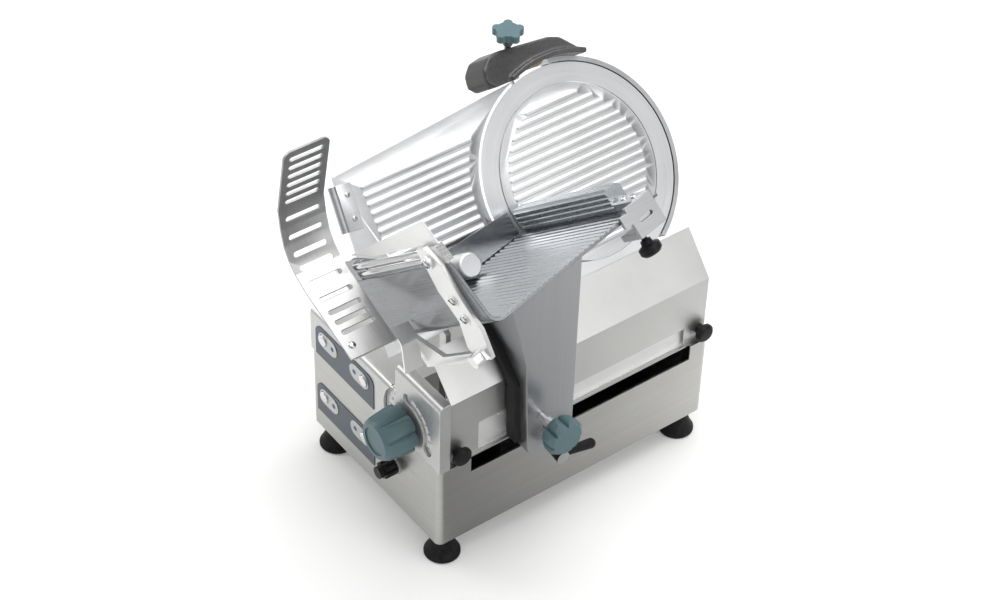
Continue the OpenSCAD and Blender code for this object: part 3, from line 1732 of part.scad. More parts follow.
module fence_clamp() {
  color("darkgray")
    at_tray()
      difference() {
        union() {
          translate([fence_n[1], fence_a, flute_h + gap])
            cube([tray_n + tray_wid + clamp_edge - fence_n[1], fence_w, 1.5 * clamp_thick]);
          translate([tray_n + tray_wid + gap, clamp_a[0], -clamp_drop])
            cube([clamp_thick, clamp_a[1] - clamp_a[0], clamp_drop + clamp_rise]);
          translate([tray_n + tray_wid + clamp_lap - clamp_reach, clamp_a[0], -clamp_drop])
            cube([clamp_reach, clamp_a[1] - clamp_a[0], clamp_reach / 5]);
          // the small stop lug beside the slot
          translate([tray_n + tray_wid + gap, clamp_a[0] - 2 * clamp_thick, -2 * clamp_thick])
            cube([clamp_thick, 2 * clamp_thick + over, clamp_reach * 0.4]);
        }
        translate([tray_n + tray_wid - over, (clamp_a[0] + clamp_a[1]) / 2, (clamp_thick - clamp_drop) / 2])
          rotate([90, 0, 90])
            linear_extrude(height = 2 * clamp_thick)
              pill(clamp_slot, clamp_thick / 2);
        translate([tray_n + tray_wid - clamp_back, fence_a - clamp_lap, -clamp_drop - over])
          cylinder(r = fence_screw_r + run, h = clamp_reach / 5 + 2 * over);
      }
}
fence_screw_r = 4;
fence_knob_r = 15;
module fence_knob() {
  color("black")
    at_tray()
      translate([tray_n + tray_wid - clamp_back, fence_a - clamp_lap, -tray_thick - gap])
        rotate([180, 0, 0]) {
          cylinder(r = fence_screw_r, h = clamp_drop + fence_screw_r);
          translate([0, 0, clamp_drop + 0.75 * fence_screw_r])
            rotate_extrude()
              polygon([
                for (s = [[0, 0], [1.75, 0], [2, 1.5]]) fence_screw_r * s,
                for (s = [[0, 2.25], [0, 4.25], [-1, 5.25]]) [fence_knob_r, 0] + fence_screw_r * s,
                [0, 5.25 * fence_screw_r]
              ]);
        }
}

base_shell();
bottom_plate();
feet();
cable_gland();
front_housing();
dial_box();
dial_disc();
thickness_knob();
thickness_shaft();
keypads();
panel_trim();
indicator_lights();
button_upper_left();
button_upper_right();
button_lower_left();
button_lower_right();
mode_knob();
side_cover();
shield_plate();
cover_knob_front();
cover_knob_rear();
head_casting();
blade_axle();
blade_bearings();
blade_hub();
blade();
blade_cover();
tie_knob();
slice_deflector();
blade_motor();
motor_pulley();
blade_belt();
sharpener_cover();
sharpener_stones();
sharpener_knob();
gauge_plate();
gauge_end_plate();
guide_rods();
guide_supports();
carriage_foot();
drive_motor();
drive_pulley();
idle_pulley();
drive_belt();
control_box();
carriage_arm();
arm_seal();
star_knob();
clamp_lever();
product_tray();
side_wing();
press_rails();
link_bracket();
guard_bar();
hand_guard();
press_plate();
press_knob();
fence();
fence_clamp();
fence_knob();
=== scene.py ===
import json
import math
import bmesh
import bpy
from mathutils import Matrix, Vector


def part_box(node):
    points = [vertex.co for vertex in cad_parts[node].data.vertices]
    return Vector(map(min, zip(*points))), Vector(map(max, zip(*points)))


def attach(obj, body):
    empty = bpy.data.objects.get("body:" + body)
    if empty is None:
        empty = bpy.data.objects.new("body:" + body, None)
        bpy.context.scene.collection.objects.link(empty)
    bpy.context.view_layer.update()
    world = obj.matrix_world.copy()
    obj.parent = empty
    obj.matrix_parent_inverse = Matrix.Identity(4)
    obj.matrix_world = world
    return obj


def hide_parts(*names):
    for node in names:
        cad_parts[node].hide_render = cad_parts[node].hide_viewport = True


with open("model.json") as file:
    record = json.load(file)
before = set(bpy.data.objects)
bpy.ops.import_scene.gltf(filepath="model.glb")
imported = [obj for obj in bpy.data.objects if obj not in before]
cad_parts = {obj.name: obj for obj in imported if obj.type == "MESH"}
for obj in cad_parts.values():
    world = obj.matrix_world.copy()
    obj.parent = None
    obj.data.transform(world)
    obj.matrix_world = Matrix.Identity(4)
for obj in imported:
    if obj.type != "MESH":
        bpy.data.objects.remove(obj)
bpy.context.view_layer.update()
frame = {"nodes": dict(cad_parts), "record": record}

# The camera stands above the front right corner, where the photograph was taken from,
# with the photograph's own rotation and field of view.
view = bpy.data.objects.new("camera", bpy.data.cameras.new("camera"))
bpy.context.scene.collection.objects.link(view)
right = Vector((0.5975, 0.8015, 0.0252)).normalized()
back = Vector((0.5872, -0.4587, 0.6669))
back = (back - back.dot(right) * right).normalized()
stand = (1.9892, -1.5761, 2.5351)
view.matrix_world = Matrix.Translation(stand) @ Matrix((right, back.cross(right), back)).transposed().to_4x4()
photo_wide = 1000
photo_focal = 2451.4
view.data.sensor_width = 36.0
view.data.lens = view.data.sensor_width * photo_focal / photo_wide
view.data.clip_end = 30.0
bpy.context.scene.camera = view
bpy.context.scene.view_settings.view_transform = "Standard"

# The studio: a white room for the camera, and for bright metal a pale room whose walls are dim
# just above the table, which gives the steel its grey gradients.
world = bpy.data.worlds.new("studio")
bpy.context.scene.world = world
world.use_nodes = True
room = world.node_tree
room.nodes.clear()
towards = room.nodes.new("ShaderNodeTexCoord")
split = room.nodes.new("ShaderNodeSeparateXYZ")
room.links.new(towards.outputs["Generated"], split.inputs[0])
height = room.nodes.new("ShaderNodeValToRGB")
height.color_ramp.elements[0].color = (0.80, 0.80, 0.79, 1)
height.color_ramp.elements[1].color = (0.95, 0.95, 0.95, 1)
for place, tone in ((0.46, 0.50), (0.56, 0.30), (0.66, 0.42), (0.76, 0.66), (0.84, 0.92)):
    height.color_ramp.elements.new(place).color = (tone, tone, tone * 1.01, 1)
upward = room.nodes.new("ShaderNodeMapRange")
upward.inputs["From Min"].default_value = -1.0
room.links.new(split.outputs["Z"], upward.inputs["Value"])
room.links.new(upward.outputs["Result"], height.inputs["Fac"])
rays = room.nodes.new("ShaderNodeLightPath")
plain = room.nodes.new("ShaderNodeBackground")
plain.inputs["Color"].default_value = (1, 1, 1, 1)
lit = room.nodes.new("ShaderNodeBackground")
lit.inputs["Strength"].default_value = 0.78
room.links.new(height.outputs["Color"], lit.inputs["Color"])
seen = room.nodes.new("ShaderNodeMixShader")
room.links.new(rays.outputs["Is Camera Ray"], seen.inputs["Fac"])
room.links.new(lit.outputs[0], seen.inputs[1])
room.links.new(plain.outputs[0], seen.inputs[2])
room.links.new(seen.outputs[0], room.nodes.new("ShaderNodeOutputWorld").inputs["Surface"])

# Three soft boxes: the broad one overhead, a tall one at the operator's left and a weak fill
# at the carriage's side.
aim = Vector((0.0, 0.0, 0.3))
for name, place, wide, tall, watts in (
    ("overhead", (0.2, 0.3, 2.9), 2.6, 2.2, 58),
    ("left", (-2.2, -1.6, 1.7), 1.2, 2.0, 20),
    ("right", (2.9, 0.9, 1.3), 1.4, 1.6, 14),
):
    box = bpy.data.lights.new(name, "AREA")
    box.shape = "RECTANGLE"
    box.size = wide
    box.size_y = tall
    box.energy = watts
    lamp = bpy.data.objects.new(name, box)
    bpy.context.scene.collection.objects.link(lamp)
    lamp.location = place
    lamp.rotation_euler = (Vector(place) - aim).to_track_quat("Z", "Y").to_euler()

# The floor is a pale sheet that runs up behind the machine. It takes the shadow, glows a little and is
# white to the camera. In reflections its colour is painted: bright before the machine and behind it, with
# painted shade at the near corner and past the carriage's side, as a table is between its lamps.
sweep = bmesh.new()
floor_reach = 6.0
bend_start = 3.0
bend_r = 1.6
bend_steps = 12
bends = [a * math.pi / 2 / bend_steps for a in range(bend_steps + 1)]
run = [(bend_start + bend_r * math.sin(a), bend_r - bend_r * math.cos(a)) for a in bends]
run = [(-floor_reach, 0.0), *run, (bend_start + bend_r, floor_reach)]
aside = Vector((right.x, right.y, 0)).normalized()
away = Vector((-back.x, -back.y, 0)).normalized()
rows = [[sweep.verts.new(away * d + aside * s * floor_reach + Vector((0, 0, h))) for s in (-1, 1)]
        for d, h in run]
for a, b in zip(rows, rows[1:]):
    sweep.faces.new((a[0], a[1], b[1], b[0])).smooth = True
floor_mesh = bpy.data.meshes.new("floor")
sweep.to_mesh(floor_mesh)
floor = bpy.data.objects.new("floor", floor_mesh)
bpy.context.scene.collection.objects.link(floor)
paper = bpy.data.materials.new("floor paper")
paper.use_nodes = True
tree = paper.node_tree
shade = tree.nodes["Principled BSDF"]
shade.inputs["Base Color"].default_value = (0.86, 0.86, 0.85, 1)
shade.inputs["Roughness"].default_value = 0.9
shade.inputs["Specular IOR Level"].default_value = 0.1
glow = tree.nodes.new("ShaderNodeEmission")
glow.inputs["Strength"].default_value = 0.16
path = tree.nodes.new("ShaderNodeLightPath")
dim = tree.nodes.new("ShaderNodeBsdfDiffuse")
spot = tree.nodes.new("ShaderNodeTexCoord")
apart = tree.nodes.new("ShaderNodeSeparateXYZ")
tree.links.new(spot.outputs["Object"], apart.inputs[0])
reach = tree.nodes.new("ShaderNodeMapRange")
reach.inputs["From Min"].default_value = -0.6
reach.inputs["From Max"].default_value = 0.6
tree.links.new(apart.outputs["Y"], reach.inputs["Value"])
# Painted shade in the floor's reflected colour: a dim band under the machine's front half, and darker still
# past the carriage's side.
painted_shade_ramp = tree.nodes.new("ShaderNodeValToRGB")
for at, tone in ((0.267, 0.78), (0.345, 0.24), (0.54, 0.46), (0.79, 0.88)):
    painted_shade_ramp.color_ramp.elements.new(at).color = (tone, tone, tone * 0.98, 1)
painted_shade_ramp.color_ramp.elements[0].color = (0.80, 0.80, 0.79, 1)
painted_shade_ramp.color_ramp.elements[-1].color = (0.88, 0.88, 0.87, 1)
tree.links.new(reach.outputs["Result"], painted_shade_ramp.inputs["Fac"])
beside = tree.nodes.new("ShaderNodeMapRange")
beside.inputs["From Min"].default_value = 0.22
beside.inputs["From Max"].default_value = 0.42
beside.inputs["To Min"].default_value = 1.0
beside.inputs["To Max"].default_value = 0.5
tree.links.new(apart.outputs["X"], beside.inputs["Value"])
painted_reflection_tone = tree.nodes.new("ShaderNodeVectorMath")
painted_reflection_tone.operation = "SCALE"
tree.links.new(painted_shade_ramp.outputs["Color"], painted_reflection_tone.inputs[0])
tree.links.new(beside.outputs["Result"], painted_reflection_tone.inputs["Scale"])
tree.links.new(painted_reflection_tone.outputs[0], dim.inputs["Color"])
mirrored = tree.nodes.new("ShaderNodeMixShader")
tree.links.new(path.outputs["Is Glossy Ray"], mirrored.inputs["Fac"])
tree.links.new(shade.outputs[0], mirrored.inputs[1])
tree.links.new(dim.outputs[0], mirrored.inputs[2])
straight = tree.nodes.new("ShaderNodeMath")
straight.operation = "MAXIMUM"
tree.links.new(path.outputs["Is Camera Ray"], straight.inputs[0])
tree.links.new(path.outputs["Is Transmission Ray"], straight.inputs[1])
half_at_least = tree.nodes.new("ShaderNodeMath")
half_at_least.operation = "MAXIMUM"
half_at_least.inputs[1].default_value = 0.5
tree.links.new(straight.outputs[0], half_at_least.inputs[0])
tree.links.new(half_at_least.outputs[0], glow.inputs["Color"])
both = tree.nodes.new("ShaderNodeAddShader")
tree.links.new(mirrored.outputs[0], both.inputs[0])
tree.links.new(glow.outputs[0], both.inputs[1])
tree.links.new(both.outputs[0], tree.nodes["Material Output"].inputs["Surface"])
floor_mesh.materials.append(paper)

# Base body: a box folded from 2.5 mm stainless sheet with brushed faces, the grain running level
# round the sides and front to back over the deck. Its corners are bent round, its bottom edge raw.
rides_on = {n: b for b, ns in frame["record"]["behaviour"]["bodies"].items() for n in ns}
turns_at = {j["child"]: (Vector(j["pos_m"]), Vector(j["axis"]).normalized())
            for j in frame["record"]["behaviour"]["joints"] if "pos_m" in j}


def dressed(node, material, edge=0.0006, smooth=35.0, segments=2, second=None, where=None):
    """A merged copy of a node's solid with softened edges and its finish, in the node's place.

    Faces whose middle passes the test where get the second finish.
    """
    source = frame["nodes"][node]
    work = bmesh.new()
    work.from_mesh(source.data)
    bmesh.ops.remove_doubles(work, verts=work.verts, dist=0.00001)
    bmesh.ops.dissolve_limit(work, angle_limit=math.radians(0.6), verts=work.verts, edges=work.edges,
                             delimit={"NORMAL"})
    mesh = bpy.data.meshes.new(node + "_piece")
    work.to_mesh(mesh)
    work.free()
    mesh.materials.clear()
    mesh.materials.append(material)
    if second:
        mesh.materials.append(second)
        for face in mesh.polygons:
            face.material_index = 1 if where(face.center) else 0
    mesh.shade_smooth()
    mesh.set_sharp_from_angle(angle=math.radians(smooth))
    piece = bpy.data.objects.new(node + "_piece", mesh)
    bpy.context.scene.collection.objects.link(piece)
    if edge:
        soft = piece.modifiers.new("edges", "BEVEL")
        soft.width = edge
        soft.segments = segments
        soft.limit_method = "ANGLE"
        soft.angle_limit = math.radians(smooth)
        soft.use_clamp_overlap = True
        soft.harden_normals = True
    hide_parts(node)
    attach(piece, rides_on[node])
    return piece


def near_axis(body, reach, high=1.0):
    """A test for places within a reach of a body's turning axis, up to a place along it."""
    start, along = turns_at[body]

    def test(place):
        rise = (place - start).dot(along)
        return rise < high and (place - start - rise * along).length < reach
    return test


def group(name, inputs, outputs):
    """An empty shader node group with its input and output nodes."""
    made = bpy.data.node_groups.new(name, "ShaderNodeTree")
    for socket, kind, value in inputs:
        new = made.interface.new_socket(socket, in_out="INPUT", socket_type=kind)
        if value is not None:
            new.default_value = value
    for socket, kind in outputs:
        made.interface.new_socket(socket, in_out="OUTPUT", socket_type=kind)
    return made, made.nodes.new("NodeGroupInput"), made.nodes.new("NodeGroupOutput")


def stretched_noise(tree, vector, scale, detail):
    """Noise on a vector, with a fixed fineness."""
    noise = tree.nodes.new("ShaderNodeTexNoise")
    noise.inputs["Detail"].default_value = detail
    noise.inputs["Roughness"].default_value = 0.6
    noise.inputs["Scale"].default_value = scale
    tree.links.new(vector, noise.inputs["Vector"])
    return noise.outputs["Fac"]


# Brush lines: fine scratches of an abrasive belt, long along one way and tight across it.
brush, b_in, b_out = group("brush lines", [("Vector", "NodeSocketVector", None)],
                           [("Lines", "NodeSocketFloat"), ("Drift", "NodeSocketFloat")])
brush.links.new(stretched_noise(brush, b_in.outputs["Vector"], 1.0, 3.0), b_out.inputs["Lines"])
slow = brush.nodes.new("ShaderNodeVectorMath")
slow.operation = "SCALE"
slow.inputs["Scale"].default_value = 0.05
brush.links.new(b_in.outputs["Vector"], slow.inputs[0])
brush.links.new(stretched_noise(brush, slow.outputs[0], 1.0, 2.0), b_out.inputs["Drift"])

# Handling: faint cloudy marks of hands and wiping cloths, a hand's breadth across.
handled, h_in, h_out = group("handling marks", [("Vector", "NodeSocketVector", None)],
                             [("Marks", "NodeSocketFloat")])
handled.links.new(stretched_noise(handled, h_in.outputs["Vector"], 14.0, 5.0), h_out.inputs["Marks"])

# Worn edge: one where the surface turns sharply, nought on the flats.
worn, w_in, w_out = group("worn edge", [("Width", "NodeSocketFloat", 0.001)], [("Edge", "NodeSocketFloat")])
rounded = worn.nodes.new("ShaderNodeBevel")
rounded.samples = 4
worn.links.new(w_in.outputs["Width"], rounded.inputs["Radius"])
flat = worn.nodes.new("ShaderNodeNewGeometry")
agree = worn.nodes.new("ShaderNodeVectorMath")
agree.operation = "DOT_PRODUCT"
worn.links.new(rounded.outputs[0], agree.inputs[0])
worn.links.new(flat.outputs["Normal"], agree.inputs[1])
turned = worn.nodes.new("ShaderNodeMapRange")
turned.inputs["From Min"].default_value = 0.995
turned.inputs["From Max"].default_value = 0.90
worn.links.new(agree.outputs["Value"], turned.inputs["Value"])
worn.links.new(turned.outputs["Result"], w_out.inputs["Edge"])


def finish(name, metallic, **sockets):
    """A material, its tree, its shader with fixed values on its sockets, and the object's coordinates."""
    made = bpy.data.materials.new(name)
    made.use_nodes = True
    tree = made.node_tree
    shader = tree.nodes["Principled BSDF"]
    shader.inputs["Metallic"].default_value = metallic
    for socket, value in sockets.items():
        shader.inputs[socket.replace("_", " ")].default_value = value
    place = tree.nodes.new("ShaderNodeTexCoord").outputs["Object"]
    return made, tree, shader, place


def placed(tree, place, scale=(1, 1, 1), turn=(0, 0, 0), centre=(0, 0, 0)):
    """The object's coordinates taken from a centre, turned level with a piece and then scaled."""
    shift = tree.nodes.new("ShaderNodeVectorMath")
    shift.operation = "SUBTRACT"
    shift.inputs[1].default_value = centre
    tree.links.new(place, shift.inputs[0])
    level = tree.nodes.new("ShaderNodeMapping")
    level.inputs["Rotation"].default_value = turn
    tree.links.new(shift.outputs[0], level.inputs["Vector"])
    scaled = tree.nodes.new("ShaderNodeVectorMath")
    scaled.operation = "MULTIPLY"
    scaled.inputs[1].default_value = scale
    tree.links.new(level.outputs[0], scaled.inputs[0])
    return scaled.outputs[0]


def spread(tree, value, low, high, from_low=0.3, from_high=0.7):
    """A value carried to a new range."""
    carried = tree.nodes.new("ShaderNodeMapRange")
    carried.inputs["From Min"].default_value = from_low
    carried.inputs["From Max"].default_value = from_high
    carried.inputs["To Min"].default_value = low
    carried.inputs["To Max"].default_value = high
    tree.links.new(value, carried.inputs["Value"])
    return carried.outputs["Result"]


def tones(tree, value, *stops):
    """A colour from a value, by stops of place and tone."""
    ramp = tree.nodes.new("ShaderNodeValToRGB")
    while len(ramp.color_ramp.elements) < len(stops):
        ramp.color_ramp.elements.new(0.5)
    for element, (at, tone) in zip(ramp.color_ramp.elements, stops):
        element.position = at
        element.color = (*tone, 1)
    tree.links.new(value, ramp.inputs["Fac"])
    return ramp.outputs["Color"]


def relief(tree, shader, value, depth, distance):
    """Bump from a value, over any bump that is there already."""
    bump = tree.nodes.new("ShaderNodeBump")
    bump.inputs["Strength"].default_value = depth
    bump.inputs["Distance"].default_value = distance
    tree.links.new(value, bump.inputs["Height"])
    if shader.inputs["Normal"].links:
        tree.links.new(shader.inputs["Normal"].links[0].from_socket, bump.inputs["Normal"])
    tree.links.new(bump.outputs[0], shader.inputs["Normal"])


def marks(tree, place):
    """Handling marks on the object's coordinates."""
    node = tree.nodes.new("ShaderNodeGroup")
    node.node_tree = handled
    tree.links.new(place, node.inputs["Vector"])
    return node.outputs["Marks"]


def edge_mask(tree, width):
    """The worn edge's mask for an edge of this width."""
    node = tree.nodes.new("ShaderNodeGroup")
    node.node_tree = worn
    node.inputs["Width"].default_value = width
    return node.outputs["Edge"]


def edged(tree, mask, tone, edge_tone):
    """A tone that turns to the edge's tone where the mask is one."""
    colour_a, colour_b, colour_out = 6, 7, 2
    mixed = tree.nodes.new("ShaderNodeMix")
    mixed.data_type = "RGBA"
    tree.links.new(mask, mixed.inputs["Factor"])
    tree.links.new(tone, mixed.inputs[colour_a])
    mixed.inputs[colour_b].default_value = (*edge_tone, 1)
    return mixed.outputs[colour_out]


def average(tree, a, b, share):
    """Two values mixed by a fixed share or by a mask."""
    mixed = tree.nodes.new("ShaderNodeMix")
    if isinstance(share, float):
        mixed.inputs["Factor"].default_value = share
    else:
        tree.links.new(share, mixed.inputs["Factor"])
    tree.links.new(a, mixed.inputs["A"])
    tree.links.new(b, mixed.inputs["B"])
    return mixed.outputs["Result"]


def brushed(name, dark, light, rough, scale, turn=(0, 0, 0), centre=(0, 0, 0), deck=None, depth=0.12):
    """Brushed metal: lines in tone, gloss and relief; deck is the scale on level faces, if it differs."""
    made, tree, shader, place = finish(name, 1.0)
    lines = []
    for way in [scale] + ([deck] if deck else []):
        node = tree.nodes.new("ShaderNodeGroup")
        node.node_tree = brush
        tree.links.new(placed(tree, place, way, turn, centre), node.inputs["Vector"])
        lines.append(average(tree, node.outputs["Lines"], node.outputs["Drift"], 0.35))
    line = lines[0]
    if deck:
        facing = tree.nodes.new("ShaderNodeNewGeometry")
        apart = tree.nodes.new("ShaderNodeSeparateXYZ")
        tree.links.new(facing.outputs["Normal"], apart.inputs[0])
        level = spread(tree, apart.outputs["Z"], 0.0, 1.0, 0.6, 0.8)
        line = average(tree, lines[0], lines[1], level)
    tree.links.new(tones(tree, line, (0.3, dark), (0.7, light)), shader.inputs["Base Color"])
    hand = spread(tree, marks(tree, place), -0.03, 0.05)
    gloss = tree.nodes.new("ShaderNodeMath")
    gloss.operation = "ADD"
    tree.links.new(spread(tree, line, rough[0], rough[1]), gloss.inputs[0])
    tree.links.new(hand, gloss.inputs[1])
    tree.links.new(gloss.outputs[0], shader.inputs["Roughness"])
    relief(tree, shader, line, depth, 0.0003)
    return made


stainless = brushed("brushed stainless", (0.50, 0.497, 0.485), (0.62, 0.615, 0.60), (0.26, 0.40),
                    (3, 3, 900), deck=(900, 3, 3))
dressed("base_shell", stainless, 0.0008)
dressed("bottom_plate", stainless, 0.0004)

# Feet: four moulded rubber feet with a flared sole, screwed up into the bottom plate by a moulded-in
# stud. Rubber, black, with a dusty sole and a soft sheen on the upper part.
rubber, tree, shader, place = finish("foot rubber", 0.0, Specular_IOR_Level=0.12)
dust = stretched_noise(tree, placed(tree, place, (1, 1, 0.4)), 160.0, 6.0)
tree.links.new(tones(tree, dust, (0.35, (0.010, 0.010, 0.011)), (0.8, (0.030, 0.030, 0.030))),
               shader.inputs["Base Color"])
tree.links.new(spread(tree, dust, 0.34, 0.6), shader.inputs["Roughness"])
relief(tree, shader, dust, 0.15, 0.0004)
dressed("feet", rubber, 0.0006, 50.0)

# Cable gland: a nylon gland nut with a sealing ring, screwed into the back panel for the mains lead.
# Moulded black nylon, finely pored, which the black knobs and the clamp lever share.
black, tree, shader, place = finish("black nylon", 0.0, Specular_IOR_Level=0.18)
pores = stretched_noise(tree, place, 900.0, 4.0)
tree.links.new(tones(tree, pores, (0.3, (0.008, 0.008, 0.009)), (0.75, (0.022, 0.022, 0.024))),
               shader.inputs["Base Color"])
tree.links.new(spread(tree, marks(tree, place), 0.24, 0.42), shader.inputs["Roughness"])
relief(tree, shader, pores, 0.08, 0.0003)
dressed("cable_gland", black, 0.0005)

# Front housing and dial box: two aluminium castings, ground, blasted and clear anodised, screwed to
# the base from inside. The dial box's top edge and corner are polished bright by the grinding.
def cast(name, dark, light, rough, grain=420.0, depth=0.10, worn_tone=None, edge=0.002, metallic=1.0):
    """Blasted and anodised cast metal: a fine even grain, slow clouds and brighter edges."""
    made, tree, shader, place = finish(name, metallic)
    grains = stretched_noise(tree, place, grain, 4.0)
    clouds = marks(tree, place)
    tone = tones(tree, average(tree, grains, clouds, 0.55), (0.35, dark), (0.65, light))
    rub = spread(tree, clouds, rough[0], rough[1])
    if worn_tone:
        mask = edge_mask(tree, edge)
        tone = edged(tree, mask, tone, worn_tone)
        shiny = tree.nodes.new("ShaderNodeMath")
        shiny.operation = "MULTIPLY_ADD"
        tree.links.new(mask, shiny.inputs[0])
        shiny.inputs[1].default_value = -0.10
        tree.links.new(rub, shiny.inputs[2])
        rub = shiny.outputs[0]
    tree.links.new(tone, shader.inputs["Base Color"])
    tree.links.new(rub, shader.inputs["Roughness"])
    relief(tree, shader, grains, depth, 0.0004)
    return made


housing_cast = cast("anodised housing", (0.60, 0.60, 0.595), (0.70, 0.70, 0.695), (0.30, 0.42),
                    worn_tone=(0.86, 0.86, 0.86), metallic=0.75)
dressed("front_housing", housing_cast, 0.0010)
dressed("dial_box", housing_cast, 0.0010)

# Graduated disc: white enamelled metal behind the castings' windows, with black numbers and strokes
# printed on it, screwed to the thickness shaft so that it turns with the knob.
enamel, tree, shader, place = finish("dial enamel", 0.0, Coat_Weight=0.3, Coat_Roughness=0.1)
speck = marks(tree, place)
tree.links.new(tones(tree, speck, (0.3, (0.92, 0.92, 0.91)), (0.7, (0.97, 0.97, 0.96))),
               shader.inputs["Base Color"])
tree.links.new(spread(tree, speck, 0.28, 0.4), shader.inputs["Roughness"])
dressed("dial_disc", enamel, 0.0003)
ink, tree, shader, place = finish("dial ink", 0.0)
tree.links.new(tones(tree, stretched_noise(tree, place, 2500.0, 2.0), (0.3, (0.012, 0.012, 0.014)),
                     (0.8, (0.05, 0.05, 0.055))), shader.inputs["Base Color"])
shader.inputs["Roughness"].default_value = 0.5
disc_low, disc_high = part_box("dial_disc")
dial_mid = Vector(((disc_low.x + disc_high.x) / 2, 0, (disc_low.z + disc_high.z) / 2))
dial_face = -0.2295
ink_thick = 0.00012
stroke_outer = 0.0545
long_stroke = 0.0060
short_stroke = 0.0038
half_stroke = 0.00034
figure_ring = 0.0435
figure_high = 0.0088
figures = 20
strokes = 5 * figures
print_mesh = bmesh.new()


def on_dial(radius, turn, x, y):
    """A point of the printed face: x along the circle, y outwards, at a turn from three o'clock."""
    a = math.radians(turn)
    out = Vector((math.cos(a), 0, math.sin(a)))
    side = Vector((math.sin(a), 0, -math.cos(a)))
    p = dial_mid + out * (radius + y) + side * x
    return Vector((p.x, dial_face - ink_thick, p.z))


for k in range(strokes):
    long = long_stroke if k % 5 == 0 else short_stroke
    corners = [print_mesh.verts.new(on_dial(stroke_outer - long, 90 - k * 360 / strokes, x, y))
               for x, y in ((-half_stroke, 0), (half_stroke, 0), (half_stroke, long), (-half_stroke, long))]
    print_mesh.faces.new(corners)
for k in range(figures):
    words = bpy.data.curves.new("number", "FONT")
    words.body = str(k)
    words.size = figure_high
    words.align_x = "CENTER"
    words.align_y = "CENTER"
    letter = bpy.data.objects.new("number", words)
    bpy.context.scene.collection.objects.link(letter)
    bpy.context.view_layer.update()
    settled = letter.evaluated_get(bpy.context.evaluated_depsgraph_get())
    flat_letter = bpy.data.meshes.new_from_object(settled)
    bpy.data.objects.remove(letter)
    part = bmesh.new()
    part.from_mesh(flat_letter)
    bmesh.ops.triangulate(part, faces=part.faces)
    joined = {v: print_mesh.verts.new(on_dial(figure_ring, 90 - k * 360 / figures, v.co.x, v.co.y))
              for v in part.verts}
    for f in part.faces:
        print_mesh.faces.new([joined[v] for v in f.verts])
    part.free()
    bpy.data.meshes.remove(flat_letter)
bmesh.ops.recalc_face_normals(print_mesh, faces=print_mesh.faces)
for f in print_mesh.faces:
    if f.normal.y > 0:
        f.normal_flip()
printed = bpy.data.meshes.new("dial_print")
print_mesh.to_mesh(printed)
print_mesh.free()
printed.materials.append(ink)
dial_print = bpy.data.objects.new("dial_print", printed)
bpy.context.scene.collection.objects.link(dial_print)
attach(dial_print, "thickness_dial")

# Thickness knob: a fluted hand wheel moulded in blue-green nylon, pinned on a ground steel shaft.
# Hands leave it cloudy in gloss, and its edges are paler.
def nylon(name, dark, light, rough):
    """Moulded nylon: a fine leathery grain, slow clouding and paler edges."""
    made, tree, shader, place = finish(name, 0.0, Specular_IOR_Level=0.45)
    grain = stretched_noise(tree, place, 700.0, 3.0)
    cloud = marks(tree, place)
    tone = tones(tree, average(tree, grain, cloud, 0.6), (0.3, dark), (0.7, light))
    mask = spread(tree, edge_mask(tree, 0.0012), 0.0, 0.5, 0.0, 1.0)
    tree.links.new(edged(tree, mask, tone, [c * 1.35 for c in light]), shader.inputs["Base Color"])
    tree.links.new(spread(tree, cloud, rough[0], rough[1]), shader.inputs["Roughness"])
    relief(tree, shader, grain, 0.10, 0.0003)
    return made


teal = nylon("blue-green nylon", (0.085, 0.150, 0.168), (0.118, 0.195, 0.215), (0.30, 0.42))
dressed("thickness_knob", teal, 0.0014, 30.0, 3)


def polished(name, tone, rough, scale):
    """Ground and polished steel with faint tool lines."""
    made, tree, shader, place = finish(name, 1.0)
    node = tree.nodes.new("ShaderNodeGroup")
    node.node_tree = brush
    tree.links.new(placed(tree, place, scale), node.inputs["Vector"])
    line = node.outputs["Lines"]
    tree.links.new(tones(tree, line, (0.3, tuple(c * 0.86 for c in tone)), (0.7, tone)),
                   shader.inputs["Base Color"])
    tree.links.new(spread(tree, line, rough[0], rough[1]), shader.inputs["Roughness"])
    relief(tree, shader, line, 0.05, 0.0002)
    return made


ground_steel = polished("ground steel", (0.80, 0.80, 0.80), (0.10, 0.20), (900, 30, 900))
dressed("thickness_shaft", ground_steel, 0.0004)

# Key pads: printed film on a face plate, dark blue-grey, with pale frames round each button and lamp.
# The frames and the mode knob's washer are satin aluminium; the lamps are deep blue lenses.
film, tree, shader, place = finish("key pad film", 0.0, Coat_Weight=0.25, Coat_Roughness=0.25)
weave = stretched_noise(tree, place, 1200.0, 2.0)
tree.links.new(tones(tree, average(tree, weave, marks(tree, place), 0.5), (0.3, (0.048, 0.068, 0.090)),
                     (0.7, (0.066, 0.088, 0.112))), shader.inputs["Base Color"])
tree.links.new(spread(tree, weave, 0.32, 0.46), shader.inputs["Roughness"])
relief(tree, shader, weave, 0.05, 0.0002)
dressed("keypads", film, 0.0004)
satin = brushed("satin aluminium", (0.50, 0.51, 0.52), (0.62, 0.63, 0.64), (0.30, 0.42),
                (4, 4, 700), depth=0.06)
dressed("panel_trim", satin, 0.0003)
lens, tree, shader, place = finish("lamp lens", 0.0, Coat_Weight=1.0, Coat_Roughness=0.05)
tree.links.new(tones(tree, stretched_noise(tree, place, 300.0, 2.0), (0.3, (0.010, 0.030, 0.075)),
                     (0.7, (0.020, 0.055, 0.12))), shader.inputs["Base Color"])
shader.inputs["Roughness"].default_value = 0.2
dressed("indicator_lights", lens, 0.0003)

# Push buttons and mode knob: bright turned metal caps that spring back, and a black lobed knob that
# turns between its two settings.
button_metal = polished("button metal", (0.84, 0.84, 0.85), (0.08, 0.18), (600, 600, 600))
for node in ("button_upper_left", "button_upper_right", "button_lower_left", "button_lower_right"):
    dressed(node, button_metal, 0.0005, 25.0)
dressed("mode_knob", black, 0.0006, 25.0)

